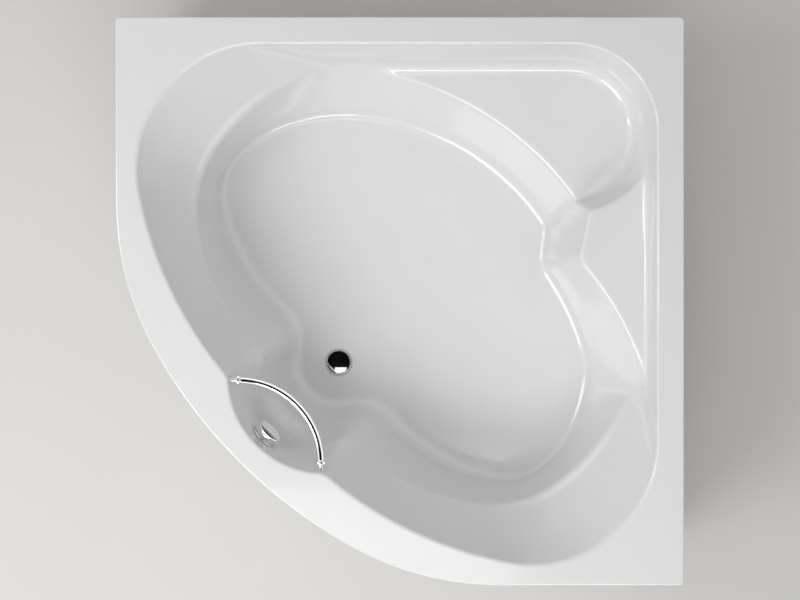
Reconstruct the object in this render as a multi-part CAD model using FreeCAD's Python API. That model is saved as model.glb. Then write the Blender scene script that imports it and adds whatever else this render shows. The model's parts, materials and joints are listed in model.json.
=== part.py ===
import FreeCAD, Part
import math
import os

# Corner bathtub for a room corner, 1500 x 1500 mm.  The walls of the room are on +X and +Y, the curved
# front looks towards -X and -Y, and the floor of the room is z = 0.  Everything on the bath but the seat
# end and the arm shelf is alike on both sides of the diagonal.  So plan sizes are given in a turned plan:
# u runs along the diagonal towards the room corner, v square to it, and angles are those of the normals.

# Rim and outline
SIDE = 1500.0            # overall length of each wall side
RIM_HEIGHT = 580.0       # top of the rim over the room's floor
CORNER_RADIUS = 12.0     # rounding of the three square corners
FRONT_APEX = 600.0       # from the middle of the square to the front, along the diagonal
FRONT_RADIUS = 1339.0    # big curve of the front
FRONT_TURN = 16.0        # half of the angle that the big curve spans
LIP_HEIGHT = 40.0        # turned-down edge round the rim
RIM_ROUND = 5.0          # rounding of the rim's outer edge
WALL = 6.0               # acrylic with its glass-fibre backing

# Bathing well: depths below the rim
SEAT_DEPTH = 210.0
SHELF_DEPTH = 95.0
WELL_DEPTH = 430.0       # at the outlet
FLOOR_FALL = 0.02        # rise of the floor per mm away from the outlet
FLOOR_FILLET = 38.0
BACKING_SPREAD = 1.15    # sideways growth of the backing per mm of wall, as the walls slope
BACKING_BEVEL = 22.0     # bevel round the underside of the floor, in place of the inside's fillet

# Well outlines at three levels: first u, then the radii of the arcs between the angles listed
RIM_WALL_GAP = 71.0      # flat rim on the wall sides, from the wall to the well
RIM_CORNER_RADIUS = 229.0
RIM_BACK_LENGTH = 820.0  # straight edge of the well along each wall
RIM_LOBE_RADIUS = 326.0
RIM_SIDE_RADIUS = 1078.0
SEAT_WALL_GAP = 99.0     # the same gap at the level of the seat
SEAT_CORNER_RADIUS = 190.0
MID_START = 555.0
MID_RADII = (877.0, 176.0, 597.0, 306.0, 597.0)
FLOOR_START = 470.0
FLOOR_RADII = (722.0, 527.0, 322.0, 156.0, 538.0)
TURNS = (0.0, 40.0, 65.0, 98.0, 146.0)
CORNER_TURN = 45.0
SQUARE_STEPS = (7, 1, 4, 5, 7, 6)     # chords of the backing on each piece of the square outlines
OVAL_STEPS = (7, 4, 5, 7, 6)
NICHE_STEPS = 14

# Overflow niche, as a circle at each level: its middle on the diagonal and its radius
NICHE = {"rim": (-275.0, 260.0), "mid": (-313.0, 165.0), "floor": (-245.0, 135.0)}

# Arm shelf on the right: corners of its top and of its foot
SHELF_TOP = ((537.0, -190.0), (418.7, -265.0), (375.7, -487.0), (274.0, -689.0))
SHELF_FOOT = ((552.8, -60.0), (361.5, -216.5), (312.0, -390.0), (180.0, -610.0))
SHELF_END_V = -222.0     # where the seat's end wall meets the wall side, at the top of the shelf
SHELF_OUT = 1100.0       # how far the shelf block runs on behind the wall
SHELF_SINK = 10.0        # and below the floor

# Waste outlet
DRAIN_U = -251.0
DRAIN_HOLE_R = 26.0
FLANGE_R = 35.0
FLANGE_THICK = 3.0
RECESS_R = 39.5
RECESS_DEPTH = 5.0
NECK_R = 25.5
NECK_WALL = 2.5
NECK_LENGTH = 22.0
SPOKES = 4
SPOKE_THICK = 2.5
GUIDE_R = 9.0
GUIDE_LENGTH = 10.0
PLUG_R = 33.5
PLUG_THICK = 5.0
PLUG_CROWN_R = 260.0
PLUG_SEAL_THICK = 1.6
SEAT_GAP = 0.2           # between the closed plug's seal and the flange
STEM_R = 4.0
STEM_FOOT_R = 7.0
STEM_FOOT_THICK = 2.0
RUN_GAP = 0.06           # running clearance of shafts in their bores, on the radius
FIT_GAP = 0.3            # clearance of fixed pieces in their holes, on the radius
SEAL_THICK = 2.0
BODY_R = 34.0
BODY_WALL = 3.0
BODY_HEIGHT = 52.0
STEM_CLEAR = 20.0        # stem's foot over the underside of the waste body
TAIL_R = 20.0            # outside of the pipe and of the body's tail
TAIL_LENGTH = 24.0
LEVER_ARM = 26.0
LEVER_THICK = 3.0
LEVER_WIDTH = 7.0
LEVER_PIN_R = 2.0
LEVER_HUB_R = 4.5
LEVER_NOSE_R = 2.5
LEVER_TAIL = 12.0
LEVER_PLAY = 0.5

# Trap under the waste
TRAP_R = 42.0
TRAP_ROUND = 10.0
TRAP_HEIGHT = 46.0
TRAP_COLLAR = 14.0
TAIL_IN_TRAP = 7.0
TRAP_NUT = 16.0
TRAP_NUT_OVERLAP = 10.0
DIP_SHARE = 0.45         # part of the trap's height that the dip pipe reaches down
OUTLET_RISE = 23.5
OUTLET_STUB = 26.0
OUTLET_NUT = 24.0
OUTLET_PIPE = 118.0
OUTLET_WALL = 1.8
STUB_STEP = 2.0          # trap's outlet over the pipe, on the radius
STUB_R = TAIL_R + STUB_STEP
SPIGOT_STEP = 0.5        # the pipe is turned down inside its nut

# Overflow
OVERFLOW_DEPTH = 76.0    # middle of the knob on the niche wall, below the rim
OVERFLOW_HOLE_R = 24.0
PAD_DEPTH = 8.5          # flat land behind the overflow, through the wall
ROSETTE_R = 38.0
ROSETTE_THICK = 5.0
NECK_OVER_R = 22.0
NECK_OVER_WALL = 2.5
NECK_OVER_LENGTH = 16.0
OVERFLOW_SLOTS = 6
SLOT_RING = 13.5
SLOT_R = 4.0
KNOB_R = 36.0
KNOB_THICK = 18.0
KNOB_WALL = 3.0
KNOB_GAP = 1.0
KNOB_GRIPS = 12
KNOB_GRIP_CUT = 1.6
KNOB_GRIP_R = 4.2
SPINDLE_R = 4.0
SPINDLE_IN = 12.0
DRUM_R = 12.0
DRUM_THICK = 7.0
DRUM_GROOVE = 2.0
CUP_R = 31.0
CUP_DEPTH = 30.0

# Hose and cable between the overflow and the waste
HOSE_R = 19.0
HOSE_VALLEY_R = 16.5
HOSE_BORE_R = 14.0
HOSE_RIBS = 22
RIB_SHAPE = ((0.0, HOSE_R), (0.2, HOSE_VALLEY_R), (0.5, HOSE_VALLEY_R), (0.7, HOSE_R))
HOSE_CUFF = 22.0
HOSE_BEND = 102.0
HOSE_DROP = 25.0         # hose axis below the top of the waste body
HOSE_SHOULDER_DROP = 48.0
HOSE_SLACK = 0.3
HOSE_NUT = 20.0
HOSE_NUT_WALL = 4.5
SHOULDER = 12.0
SPIGOT = 26.0
SPIGOT_WALL = 3.0
CABLE_R = 3.0
CABLE_OUT = 45.0         # from the middle of the cup to the mouth of the cable port
PORT_R = 4.5
PORT_V = 24.0
PORT_OUT = 44.0
PORT_DROP = 40.0

# Grab bar
BAR_DEPTH = 22.0         # its axis below the rim
BAR_MIDDLE_U = -607.0
BAR_BEND = 220.0
BAR_HALF_TURN = 43.6
BAR_R = 9.5
BAR_WALL = 1.5
COLLAR_R = 14.5
COLLAR_LENGTH = 8.0
COLLAR_CHAMFER = 1.5
POST_R = 5.0
POST_TAIL = 12.0
WASHER_THICK = 1.5
BOSS_R = 14.0
BOSS_LENGTH = 26.0

# Underframe
BOARD_THICK = 22.0
BOARD_RISE = 40.0        # the board's blank over the floor at the outlet, before the shell is cut out of it
BOARD_HALF = ((395.0, 0.0), (395.0, 150.0), (240.0, 400.0), (60.0, 500.0), (-90.0, 500.0), (-180.0, 400.0))
BAR_TUBE = 30.0
BAR_TUBE_WALL = 2.0
REAR_BAR_U = 262.0
FRONT_BAR_U = -60.0
REAR_BAR_HALF = 455.0
FRONT_BAR_HALF = 560.0
SCREW_R = 2.5
SCREW_IN = 14.0
SCREW_HEAD = 3.0
SCREW_SHARES = (0.26, 0.75)           # screws along each half of a bar
FOOT_INSET = 28.0
BUSH_R = 10.0
BUSH_OUT = 4.0
ROD_R = 6.0
ROD_LOW = 6.0
ROD_IN_BOARD = 4.0
ROD_WAY = 2.0            # clearance round a rod in the board
PAD_R = 26.0
PAD_HEIGHT = 14.0
NUT_R = 10.5
NUT_HEIGHT = 8.0

# Front apron, battens and clips
PANEL_THICK = 4.0
PANEL_GAP = 2.0
PANEL_FOOT = 12.0
PANEL_WALL_GAP = 15.0
PANEL_HEAD_GAP = 8.0
PANEL_FLANGE = 16.0
BATTEN_WIDTH = 36.0
BATTEN_THICK = 18.0
BATTEN_OFF = 15.0
BATTEN_LENGTH = 1060.0
BATTEN_END = 640.0
STRIP_HEIGHT = 24.0
STRIP_END_U = -330.0
CLIP_THICK = 1.5
CLIP_LEAF = 32.0
CLIP_WIDTH = 40.0
CLIP_TURN = 13.0

# Wall brackets
HOOK_WIDTH = 40.0
HOOK_THICK = 3.0
HOOK_REACH = 12.0
HOOK_HEIGHT = 70.0
HOOK_NOSE = 15.0
HOOK_HOLE_R = 3.0
HOOK_HOLE_DROP = 19.0
HOOK_HOLE_SPACE = 36.0
HOOK_PLACES = (-300.0, 400.0)

os.makedirs("parts", exist_ok=True)

ROOT_HALF = math.sqrt(0.5)
UP = FreeCAD.Vector(0, 0, 1)
U_WAY = FreeCAD.Vector(ROOT_HALF, ROOT_HALF, 0)
V_WAY = FreeCAD.Vector(-ROOT_HALF, ROOT_HALF, 0)
OUTLET_WAY = FreeCAD.Vector(1, 0, 0)
FLOOR_Z = RIM_HEIGHT - WELL_DEPTH
LEAN = math.atan((NICHE["rim"][0] - NICHE["rim"][1] - NICHE["mid"][0] + NICHE["mid"][1]) / -SEAT_DEPTH)


def spot(u, v, z=0.0):
    """A point of the turned plan at height z."""
    return U_WAY * u + V_WAY * v + UP * z


def normal(angle):
    return math.cos(math.radians(angle)), math.sin(math.radians(angle))


def save(name, shape):
    shape.exportStep("parts/" + name + ".step")


def ring(outer, inner, height, base, way=UP):
    return Part.makeCylinder(outer, height, base, way).cut(Part.makeCylinder(inner, height, base, way))


def hexagon(radius, height, base, bore, way=UP):
    """Hexagon nut round an upright or tilted axis."""
    turn = FreeCAD.Rotation(UP, way)
    ways = [turn.multVec(FreeCAD.Vector(*normal(60 * i), 0)) for i in range(7)]
    corners = [base + corner_way * radius for corner_way in ways]
    solid = Part.Face(Part.makePolygon(corners)).extrude(way * height)
    return solid.cut(Part.makeCylinder(bore, height, base, way))


def prism(points, low, high):
    """Upright prism over a closed polygon of plan points."""
    corners = [spot(u, v, low) for u, v in points]
    return Part.Face(Part.makePolygon(corners + corners[:1])).extrude(UP * (high - low))


# ---------------------------------------------------------------- outlines of the well

def arc_run(start, pieces, angles):
    """Follow tangent arcs from a start point.  A piece is a radius, or a length where the angle stays."""
    here = start
    run = []
    for size, (first, last) in zip(pieces, angles):
        if first == last:
            step = (-normal(first)[1] * size, normal(first)[0] * size)
            after = (here[0] + step[0], here[1] + step[1])
            run.append((here, None, after))
        else:
            middle = (here[0] - size * normal(first)[0], here[1] - size * normal(first)[1])
            half = (first + last) / 2
            between = (middle[0] + size * normal(half)[0], middle[1] + size * normal(half)[1])
            after = (middle[0] + size * normal(last)[0], middle[1] + size * normal(last)[1])
            run.append((here, between, after))
        here = after
    return run


def meet(middle_a, radius_a, middle_b, radius_b):
    """Point of two circles that lies at the lower u."""
    du = middle_b[0] - middle_a[0]
    dv = middle_b[1] - middle_a[1]
    apart = math.hypot(du, dv)
    along = (apart ** 2 + radius_a ** 2 - radius_b ** 2) / (2 * apart)
    across = math.sqrt(radius_a ** 2 - along ** 2)
    foot = (middle_a[0] + along * du / apart, middle_a[1] + along * dv / apart)
    ends = [(foot[0] - s * across * dv / apart, foot[1] + s * across * du / apart) for s in (1, -1)]
    return min(ends, key=lambda p: p[0])


def half_outline(start, pieces, angles, niche, grow):
    """One side of a well outline, from the diagonal at the room corner to the edge of the niche."""
    grown = [s if a == b else s + grow for s, (a, b) in zip(pieces, angles)]
    run = arc_run((start + grow, 0.0), grown[:-1], angles[:-1])
    here = run[-1][2]
    turn = angles[-1][0]
    radius = grown[-1]
    middle = (here[0] - radius * normal(turn)[0], here[1] - radius * normal(turn)[1])
    cusp = meet(middle, radius, (niche[0], 0.0), niche[1] + grow)
    last = math.degrees(math.atan2(cusp[1] - middle[1], cusp[0] - middle[0])) % 360
    half = (turn + last) / 2
    between = (middle[0] + radius * normal(half)[0], middle[1] + radius * normal(half)[1])
    run.append((here, between, cusp))
    return run


def flip(p):
    return None if p is None else (p[0], -p[1])


def both_sides(half, closing):
    """Pieces of one side, the closing piece, and the same side mirrored in the diagonal."""
    return half + closing + [(flip(c), flip(b), flip(a)) for a, b, c in reversed(half)]


def niche_piece(half, niche, grow):
    cusp = half[-1][2]
    return [(cusp, (niche[0] - niche[1] - grow, 0.0), flip(cusp))]


def plan_edge(piece, level):
    """Straight or round edge over a piece of an outline.  level gives its height."""
    first, between, last = piece
    ends = [spot(*p, level(*p)) for p in (first, last)]
    if between is None:
        return Part.LineSegment(*ends).toShape()
    return Part.Arc(ends[0], spot(*between, level(*between)), ends[1]).toShape()


def outline_wire(half, niche, level):
    return Part.Wire([plan_edge(piece, level) for piece in both_sides(half, niche_piece(half, niche, 0.0))])


def chord_points(half, steps, niche, grow):
    """Points round a whole outline, a fixed number of equal steps on each of its pieces."""
    points = []
    counts = steps + (NICHE_STEPS,) + steps[::-1]
    for piece, count in zip(both_sides(half, niche_piece(half, niche, grow)), counts):
        edge = plan_edge(piece, lambda u, v: 0.0)
        points += [(p.dot(U_WAY), p.dot(V_WAY)) for p in edge.discretize(Number=count + 1)[:-1]]
    return points


def chord_wire(points, level):
    corners = [spot(u, v, level(u, v)) for u, v in points]
    return Part.makePolygon(corners + corners[:1])


SQUARE_TURNS = ((0.0, CORNER_TURN), (CORNER_TURN, CORNER_TURN), (CORNER_TURN, TURNS[2]),
                (TURNS[2], TURNS[3]), (TURNS[3], TURNS[4]), (TURNS[4], None))
OVAL_TURNS = tuple(zip(TURNS, TURNS[1:] + (None,)))


def square_start(gap, radius):
    """First u of an outline whose straight stretch lies gap mm off the wall."""
    return (SIDE / 2 - gap - radius) / ROOT_HALF + radius


def rim_half(grow):
    pieces = (RIM_CORNER_RADIUS, RIM_BACK_LENGTH) + 3 * (RIM_LOBE_RADIUS,) + (RIM_SIDE_RADIUS,)
    start = square_start(RIM_WALL_GAP, RIM_CORNER_RADIUS)
    return half_outline(start, pieces, SQUARE_TURNS, NICHE["rim"], grow)


def mid_half(grow):
    return half_outline(MID_START, MID_RADII, OVAL_TURNS, NICHE["mid"], grow)


def floor_half(grow):
    return half_outline(FLOOR_START, FLOOR_RADII, OVAL_TURNS, NICHE["floor"], grow)


def seat_half(grow):
    """Outline of the seat's level: along the walls, and then with the middle outline round the lobe."""
    join = mid_half(0.0)[1][2]
    start = square_start(SEAT_WALL_GAP, SEAT_CORNER_RADIUS)
    corner = arc_run((start, 0.0), (SEAT_CORNER_RADIUS,), ((0.0, CORNER_TURN),))[0][2]
    back = (corner[0] + corner[1]) * ROOT_HALF
    drop = back - (join[0] + join[1]) * ROOT_HALF
    bend = drop / (1 - math.cos(math.radians(TURNS[2] - CORNER_TURN)))
    turned = [bend * (a - b) for a, b in zip(normal(TURNS[2]), normal(CORNER_TURN))]
    away = (join[0] - corner[0] - turned[0], join[1] - corner[1] - turned[1])
    length = (away[1] - away[0]) * ROOT_HALF
    pieces = (SEAT_CORNER_RADIUS, length, bend) + MID_RADII[2:]
    return half_outline(start, pieces, SQUARE_TURNS, NICHE["mid"], grow)


# ---------------------------------------------------------------- the moulded shell

def flat(height):
    return lambda u, v: height


def floor_level(drop):
    """Height of the sloping floor, or of its underside where drop is the wall."""
    return lambda u, v: FLOOR_Z - drop + FLOOR_FALL * (u - DRAIN_U)


def shelf_block(shift):
    """Solid under the arm shelf, with sloping sides.  shift moves it into the wall by the shell's wall."""
    def section(corners, end_v, height):
        first, nose, between, last = [(u + 0.8 * shift, v - shift) for u, v in corners]
        pieces = [(first, None, nose), (nose, between, last)]
        loop = (last, (last[0], last[1] - SHELF_OUT), (SHELF_OUT, last[1] - SHELF_OUT),
                (SHELF_OUT, end_v - shift), first)
        pieces += [(a, None, b) for a, b in zip(loop, loop[1:])]
        return Part.Wire([plan_edge(piece, flat(height)) for piece in pieces])

    top = section(SHELF_TOP, SHELF_END_V, RIM_HEIGHT - SHELF_DEPTH - shift)
    foot = section(SHELF_FOOT, SHELF_FOOT[0][1], RIM_HEIGHT - WELL_DEPTH - SHELF_SINK - shift)
    return Part.makeLoft([top, foot], True, True)


def well_inside():
    """Solid that fills the well.  Its skin is the smooth acrylic that shows."""
    seat_z = RIM_HEIGHT - SEAT_DEPTH
    upper = Part.makeLoft([outline_wire(rim_half(0.0), NICHE["rim"], flat(RIM_HEIGHT)),
                           outline_wire(seat_half(0.0), NICHE["mid"], flat(seat_z))], True, True)
    lower = Part.makeLoft([outline_wire(mid_half(0.0), NICHE["mid"], flat(seat_z)),
                           outline_wire(floor_half(0.0), NICHE["floor"], floor_level(0.0))], True, True)
    foot_edges = [e for e in lower.Edges if e.BoundBox.ZMax < (seat_z + FLOOR_Z) / 2]
    return upper.fuse(lower.makeFillet(FLOOR_FILLET, foot_edges)).cut(shelf_block(0.0))


def well_outside():
    """The same solid, larger by the wall.  Its skin is the hand-laid backing, so it is made of chords."""
    grow = WALL * BACKING_SPREAD
    seat_z = RIM_HEIGHT - SEAT_DEPTH - WALL
    rim = chord_points(rim_half(grow), SQUARE_STEPS, NICHE["rim"], grow)
    seat = chord_points(seat_half(grow), SQUARE_STEPS, NICHE["mid"], grow)
    mid = chord_points(mid_half(grow), OVAL_STEPS, NICHE["mid"], grow)
    floor = chord_points(floor_half(grow), OVAL_STEPS, NICHE["floor"], grow)
    inset = grow - BACKING_BEVEL
    foot = chord_points(floor_half(inset), OVAL_STEPS, NICHE["floor"], inset)
    share = BACKING_BEVEL / (seat_z - FLOOR_Z)
    edge = [tuple(b + share * (a - b) for a, b in zip(m, f)) for m, f in zip(mid, floor)]
    level = floor_level(WALL)
    upper = Part.makeLoft([chord_wire(rim, flat(RIM_HEIGHT)), chord_wire(seat, flat(seat_z))], True, True)
    lower = Part.makeLoft([chord_wire(mid, flat(seat_z)),
                           chord_wire(edge, lambda u, v: level(u, v) + BACKING_BEVEL),
                           chord_wire(foot, level)], True, True)
    return upper.fuse(lower).cut(shelf_block(grow))


# ---------------------------------------------------------------- rim

def rim_side(inset):
    """One side of the rim's outline, from the room corner to the front, drawn in by inset."""
    side = SIDE / 2 - inset
    corner = max(CORNER_RADIUS - inset, 1.0)
    front = FRONT_RADIUS - inset
    turn = 180.0 - FRONT_TURN
    wall = 180.0 - CORNER_TURN
    joint = (inset - FRONT_APEX + front * (1 + normal(turn)[0]), front * normal(turn)[1])
    reach = side + (joint[0] - joint[1]) * ROOT_HALF
    flank = reach / (1 - math.cos(math.radians(turn - wall)))
    flank_end = [j + flank * (a - b) for j, a, b in zip(joint, normal(wall), normal(turn))]
    straight = side - corner - (flank_end[0] + flank_end[1]) * ROOT_HALF
    start = ((side - corner) / ROOT_HALF + corner, 0.0)
    return arc_run(start, (corner, 2 * (side - corner), corner, straight, flank, front),
                   ((0.0, CORNER_TURN), (CORNER_TURN, CORNER_TURN), (CORNER_TURN, wall), (wall, wall),
                    (wall, turn), (turn, 180.0)))


def rim_face(inset, height):
    """Face of the rim's outline at a height, drawn in by inset on every side."""
    pieces = both_sides(rim_side(inset), [])
    return Part.Face(Part.Wire([plan_edge(piece, flat(height)) for piece in pieces]))


def rim_band(outer_inset, inner_inset, low, high):
    """Upright band between two insets of the rim's outline."""
    band = rim_face(outer_inset, low).extrude(UP * (high - low))
    return band.cut(rim_face(inner_inset, low).extrude(UP * (high - low)))


# ---------------------------------------------------------------- places

RECESS_Z = FLOOR_Z - RECESS_DEPTH
BOSS_Z = RECESS_Z - WALL
BODY_TOP = BOSS_Z - SEAL_THICK
BODY_LOW = BODY_TOP - BODY_HEIGHT
NICHE_WAY = U_WAY * math.cos(LEAN) + UP * math.sin(LEAN)
NICHE_WALL = spot(NICHE["rim"][0] - NICHE["rim"][1] + OVERFLOW_DEPTH * math.tan(LEAN), 0,
                  RIM_HEIGHT - OVERFLOW_DEPTH)
LAND_R = ROSETTE_R + 3.0


def overflow(w):
    """Point on the knob's axis, w in front of the niche wall."""
    return NICHE_WALL + NICHE_WAY * w


def bar_end(side):
    """End of the grab bar's axis and the way that it points, on one side of the diagonal."""
    across = math.sin(math.radians(BAR_HALF_TURN))
    along = math.cos(math.radians(BAR_HALF_TURN))
    end = spot(BAR_MIDDLE_U + BAR_BEND * along, side * BAR_BEND * across, RIM_HEIGHT - BAR_DEPTH)
    return end, U_WAY * -across + V_WAY * (side * along)


FLANGE_Z = RECESS_Z + SEAL_THICK
PLUG_Z = FLANGE_Z + FLANGE_THICK + SEAT_GAP + PLUG_SEAL_THICK
STEM_LOW = BODY_LOW + STEM_CLEAR
LEVER_Z = STEM_LOW - LEVER_PLAY - LEVER_NOSE_R
LEVER_U = DRAIN_U + LEVER_ARM
PIN_HALF = math.sqrt(BODY_R ** 2 - LEVER_ARM ** 2) - 0.5
HOSE_Z = BODY_TOP - HOSE_DROP
PORT_Z = BODY_TOP - PORT_DROP
HOSE_END_U = DRAIN_U - BODY_R - SHOULDER
CUP_CENTRE = overflow(-PAD_DEPTH - SEAL_THICK - CUP_DEPTH / 2)
HOSE_U = CUP_CENTRE.dot(U_WAY)
HOSE_TOP = CUP_CENTRE.z - HOSE_SHOULDER_DROP
CABLE_SIDE = CABLE_OUT * ROOT_HALF
CABLE_TOP = CUP_CENTRE.z - CABLE_SIDE
CABLE_END_U = DRAIN_U - PORT_OUT
CABLE_ROUTE = ((HOSE_U, CABLE_SIDE, CABLE_TOP), (HOSE_U, CABLE_SIDE + 25, CABLE_TOP - 25),
               (HOSE_U, CABLE_SIDE + 33, CABLE_TOP - 62), (HOSE_U - 4, CABLE_SIDE + 32, CABLE_TOP - 115),
               (HOSE_U - 5, CABLE_SIDE + 26, CABLE_TOP - 175),
               (HOSE_U + 2, CABLE_SIDE + 18, CABLE_TOP - 230),
               (HOSE_U + 22, CABLE_SIDE + 11, CABLE_TOP - 280),
               (HOSE_U + 58, CABLE_SIDE + 6, CABLE_TOP - 322),
               (HOSE_U + 104, CABLE_SIDE + 2, CABLE_TOP - 350), (HOSE_U + 152, CABLE_SIDE - 3, PORT_Z + 4),
               (CABLE_END_U - 38, PORT_V, PORT_Z), (CABLE_END_U, PORT_V, PORT_Z))
BOARD_Z = FLOOR_Z - WALL - BOARD_THICK
ROD_TOP = BOARD_Z + ROD_IN_BOARD
TRAP_TOP = BODY_LOW - TAIL_LENGTH + TAIL_IN_TRAP
TRAP_LOW = TRAP_TOP - TRAP_COLLAR - TRAP_HEIGHT + 4.0
OUTLET_Z = TRAP_LOW + OUTLET_RISE


# ---------------------------------------------------------------- shell

def bath_shell():
    inner = well_inside()
    shell = well_outside()
    block = rim_face(0.0, RIM_HEIGHT - LIP_HEIGHT).extrude(UP * LIP_HEIGHT)
    top = [e for e in block.Edges if e.BoundBox.ZMin > RIM_HEIGHT - 0.1]
    block = block.makeFillet(RIM_ROUND, top)
    under = rim_face(WALL, RIM_HEIGHT - LIP_HEIGHT - 1).extrude(UP * (LIP_HEIGHT - WALL + 1))
    shell = shell.fuse(block.cut(under))
    shell = shell.fuse(Part.makeCylinder(RECESS_R + WALL, WALL + RECESS_DEPTH, spot(DRAIN_U, 0, BOSS_Z)))
    shell = shell.fuse(Part.makeCylinder(LAND_R + WALL, PAD_DEPTH, overflow(-PAD_DEPTH), NICHE_WAY))
    for side in (1, -1):
        end, way = bar_end(side)
        shell = shell.fuse(Part.makeCylinder(BOSS_R, BOSS_LENGTH, end + way * COLLAR_LENGTH, way))
    shell = shell.cut(inner)
    shell = shell.cut(Part.makeCylinder(RECESS_R, 2 * RECESS_DEPTH, spot(DRAIN_U, 0, RECESS_Z)))
    shell = shell.cut(Part.makeCylinder(DRAIN_HOLE_R, 4 * WALL, spot(DRAIN_U, 0, BOSS_Z - WALL)))
    shell = shell.cut(Part.makeCylinder(LAND_R, PAD_DEPTH, overflow(0), NICHE_WAY))
    shell = shell.cut(Part.makeCylinder(LAND_R, PAD_DEPTH, overflow(-2 * PAD_DEPTH), NICHE_WAY))
    shell = shell.cut(Part.makeCylinder(OVERFLOW_HOLE_R, 3 * PAD_DEPTH, overflow(-2 * PAD_DEPTH), NICHE_WAY))
    for side in (1, -1):
        end, way = bar_end(side)
        shell = shell.cut(Part.makeCylinder(POST_R + FIT_GAP, 60, end + way * COLLAR_LENGTH, way))
    return shell


# ---------------------------------------------------------------- waste

def waste_flange():
    disc = Part.makeCylinder(FLANGE_R, FLANGE_THICK, spot(DRAIN_U, 0, FLANGE_Z))
    disc = disc.makeChamfer(1.0, [e for e in disc.Edges if e.BoundBox.ZMin > FLANGE_Z + FLANGE_THICK - 0.01])
    neck_low = FLANGE_Z - NECK_LENGTH
    neck = Part.makeCylinder(NECK_R, NECK_LENGTH + 0.5, spot(DRAIN_U, 0, neck_low))
    bore = Part.makeCylinder(NECK_R - NECK_WALL, NECK_LENGTH + 2 * FLANGE_THICK,
                             spot(DRAIN_U, 0, neck_low - 1))
    flange = disc.fuse(neck).cut(bore)
    hub = Part.makeCylinder(GUIDE_R, GUIDE_LENGTH, spot(DRAIN_U, 0, neck_low))
    for i in range(SPOKES):
        spoke = Part.makeBox(NECK_R - 1, SPOKE_THICK, GUIDE_LENGTH, FreeCAD.Vector(0, -SPOKE_THICK / 2, 0))
        spoke.rotate(FreeCAD.Vector(), UP, 360.0 * i / SPOKES + 45)
        spoke.translate(spot(DRAIN_U, 0, neck_low))
        hub = hub.fuse(spoke)
    stem_bore = Part.makeCylinder(STEM_R + RUN_GAP, 3 * GUIDE_LENGTH,
                                  spot(DRAIN_U, 0, neck_low - GUIDE_LENGTH))
    return flange.fuse(hub).cut(stem_bore)


def waste_plug():
    """Polished disc, slightly crowned, on the stem that the lever lifts."""
    crown = PLUG_Z + PLUG_THICK
    disc = Part.makeCylinder(PLUG_R, PLUG_THICK, spot(DRAIN_U, 0, PLUG_Z))
    disc = disc.common(Part.makeSphere(PLUG_CROWN_R, spot(DRAIN_U, 0, crown - PLUG_CROWN_R)))
    stem = Part.makeCylinder(STEM_R, PLUG_Z - STEM_LOW + 1, spot(DRAIN_U, 0, STEM_LOW))
    foot = Part.makeCylinder(STEM_FOOT_R, STEM_FOOT_THICK, spot(DRAIN_U, 0, STEM_LOW))
    return disc.fuse(stem).fuse(foot)


def waste_body():
    low = spot(DRAIN_U, 0, BODY_LOW)
    body = Part.makeCylinder(BODY_R, BODY_HEIGHT, low)
    body = body.fuse(Part.makeCylinder(TAIL_R, TAIL_LENGTH, low - UP * TAIL_LENGTH))
    body = body.fuse(Part.makeCylinder(HOSE_R, BODY_R + SHOULDER, spot(DRAIN_U, 0, HOSE_Z), -U_WAY))
    body = body.fuse(Part.makeCylinder(HOSE_BORE_R - HOSE_SLACK, BODY_R + SHOULDER + SPIGOT,
                                       spot(DRAIN_U, 0, HOSE_Z), -U_WAY))
    body = body.fuse(Part.makeCylinder(PORT_R, PORT_OUT, spot(DRAIN_U, PORT_V, PORT_Z), -U_WAY))
    room = Part.makeCylinder(BODY_R - BODY_WALL, BODY_HEIGHT - 2 * BODY_WALL, low + UP * BODY_WALL)
    room = room.fuse(Part.makeCylinder(NECK_R + FIT_GAP, 2 * BODY_WALL,
                                       spot(DRAIN_U, 0, BODY_TOP - 1.5 * BODY_WALL)))
    room = room.fuse(Part.makeCylinder(TAIL_R - BODY_WALL, 2 * TAIL_LENGTH, low - UP * (TAIL_LENGTH + 5)))
    room = room.fuse(Part.makeCylinder(HOSE_BORE_R - SPIGOT_WALL, BODY_R + SHOULDER + 2 * SPIGOT,
                                       spot(DRAIN_U, 0, HOSE_Z), -U_WAY))
    pin_hole = Part.makeCylinder(LEVER_PIN_R, 2 * PIN_HALF, spot(LEVER_U, -PIN_HALF, LEVER_Z), V_WAY)
    return body.cut(room).cut(pin_hole)


def lift_lever():
    """Bell crank under the stem: a round nose lifts the stem's foot, the tail takes the cable's wire."""
    half = LEVER_WIDTH / 2
    hub = Part.makeCylinder(LEVER_HUB_R, LEVER_WIDTH, spot(LEVER_U, -half, LEVER_Z), V_WAY)
    nose = Part.makeCylinder(LEVER_NOSE_R, LEVER_WIDTH, spot(DRAIN_U, -half, LEVER_Z), V_WAY)
    arm = Part.makeBox(LEVER_ARM, LEVER_WIDTH, LEVER_THICK, FreeCAD.Vector(0, -half, -LEVER_THICK / 2))
    tail = Part.makeBox(LEVER_THICK, LEVER_WIDTH, LEVER_TAIL,
                        FreeCAD.Vector(LEVER_ARM - LEVER_THICK / 2, -half, -LEVER_TAIL))
    arm = arm.fuse(tail)
    arm.rotate(FreeCAD.Vector(), UP, 45)
    arm.translate(spot(DRAIN_U, 0, LEVER_Z))
    bore = Part.makeCylinder(LEVER_PIN_R + RUN_GAP, 3 * LEVER_WIDTH,
                             spot(LEVER_U, -1.5 * LEVER_WIDTH, LEVER_Z), V_WAY)
    return hub.fuse(nose).fuse(arm).cut(bore)


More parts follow.
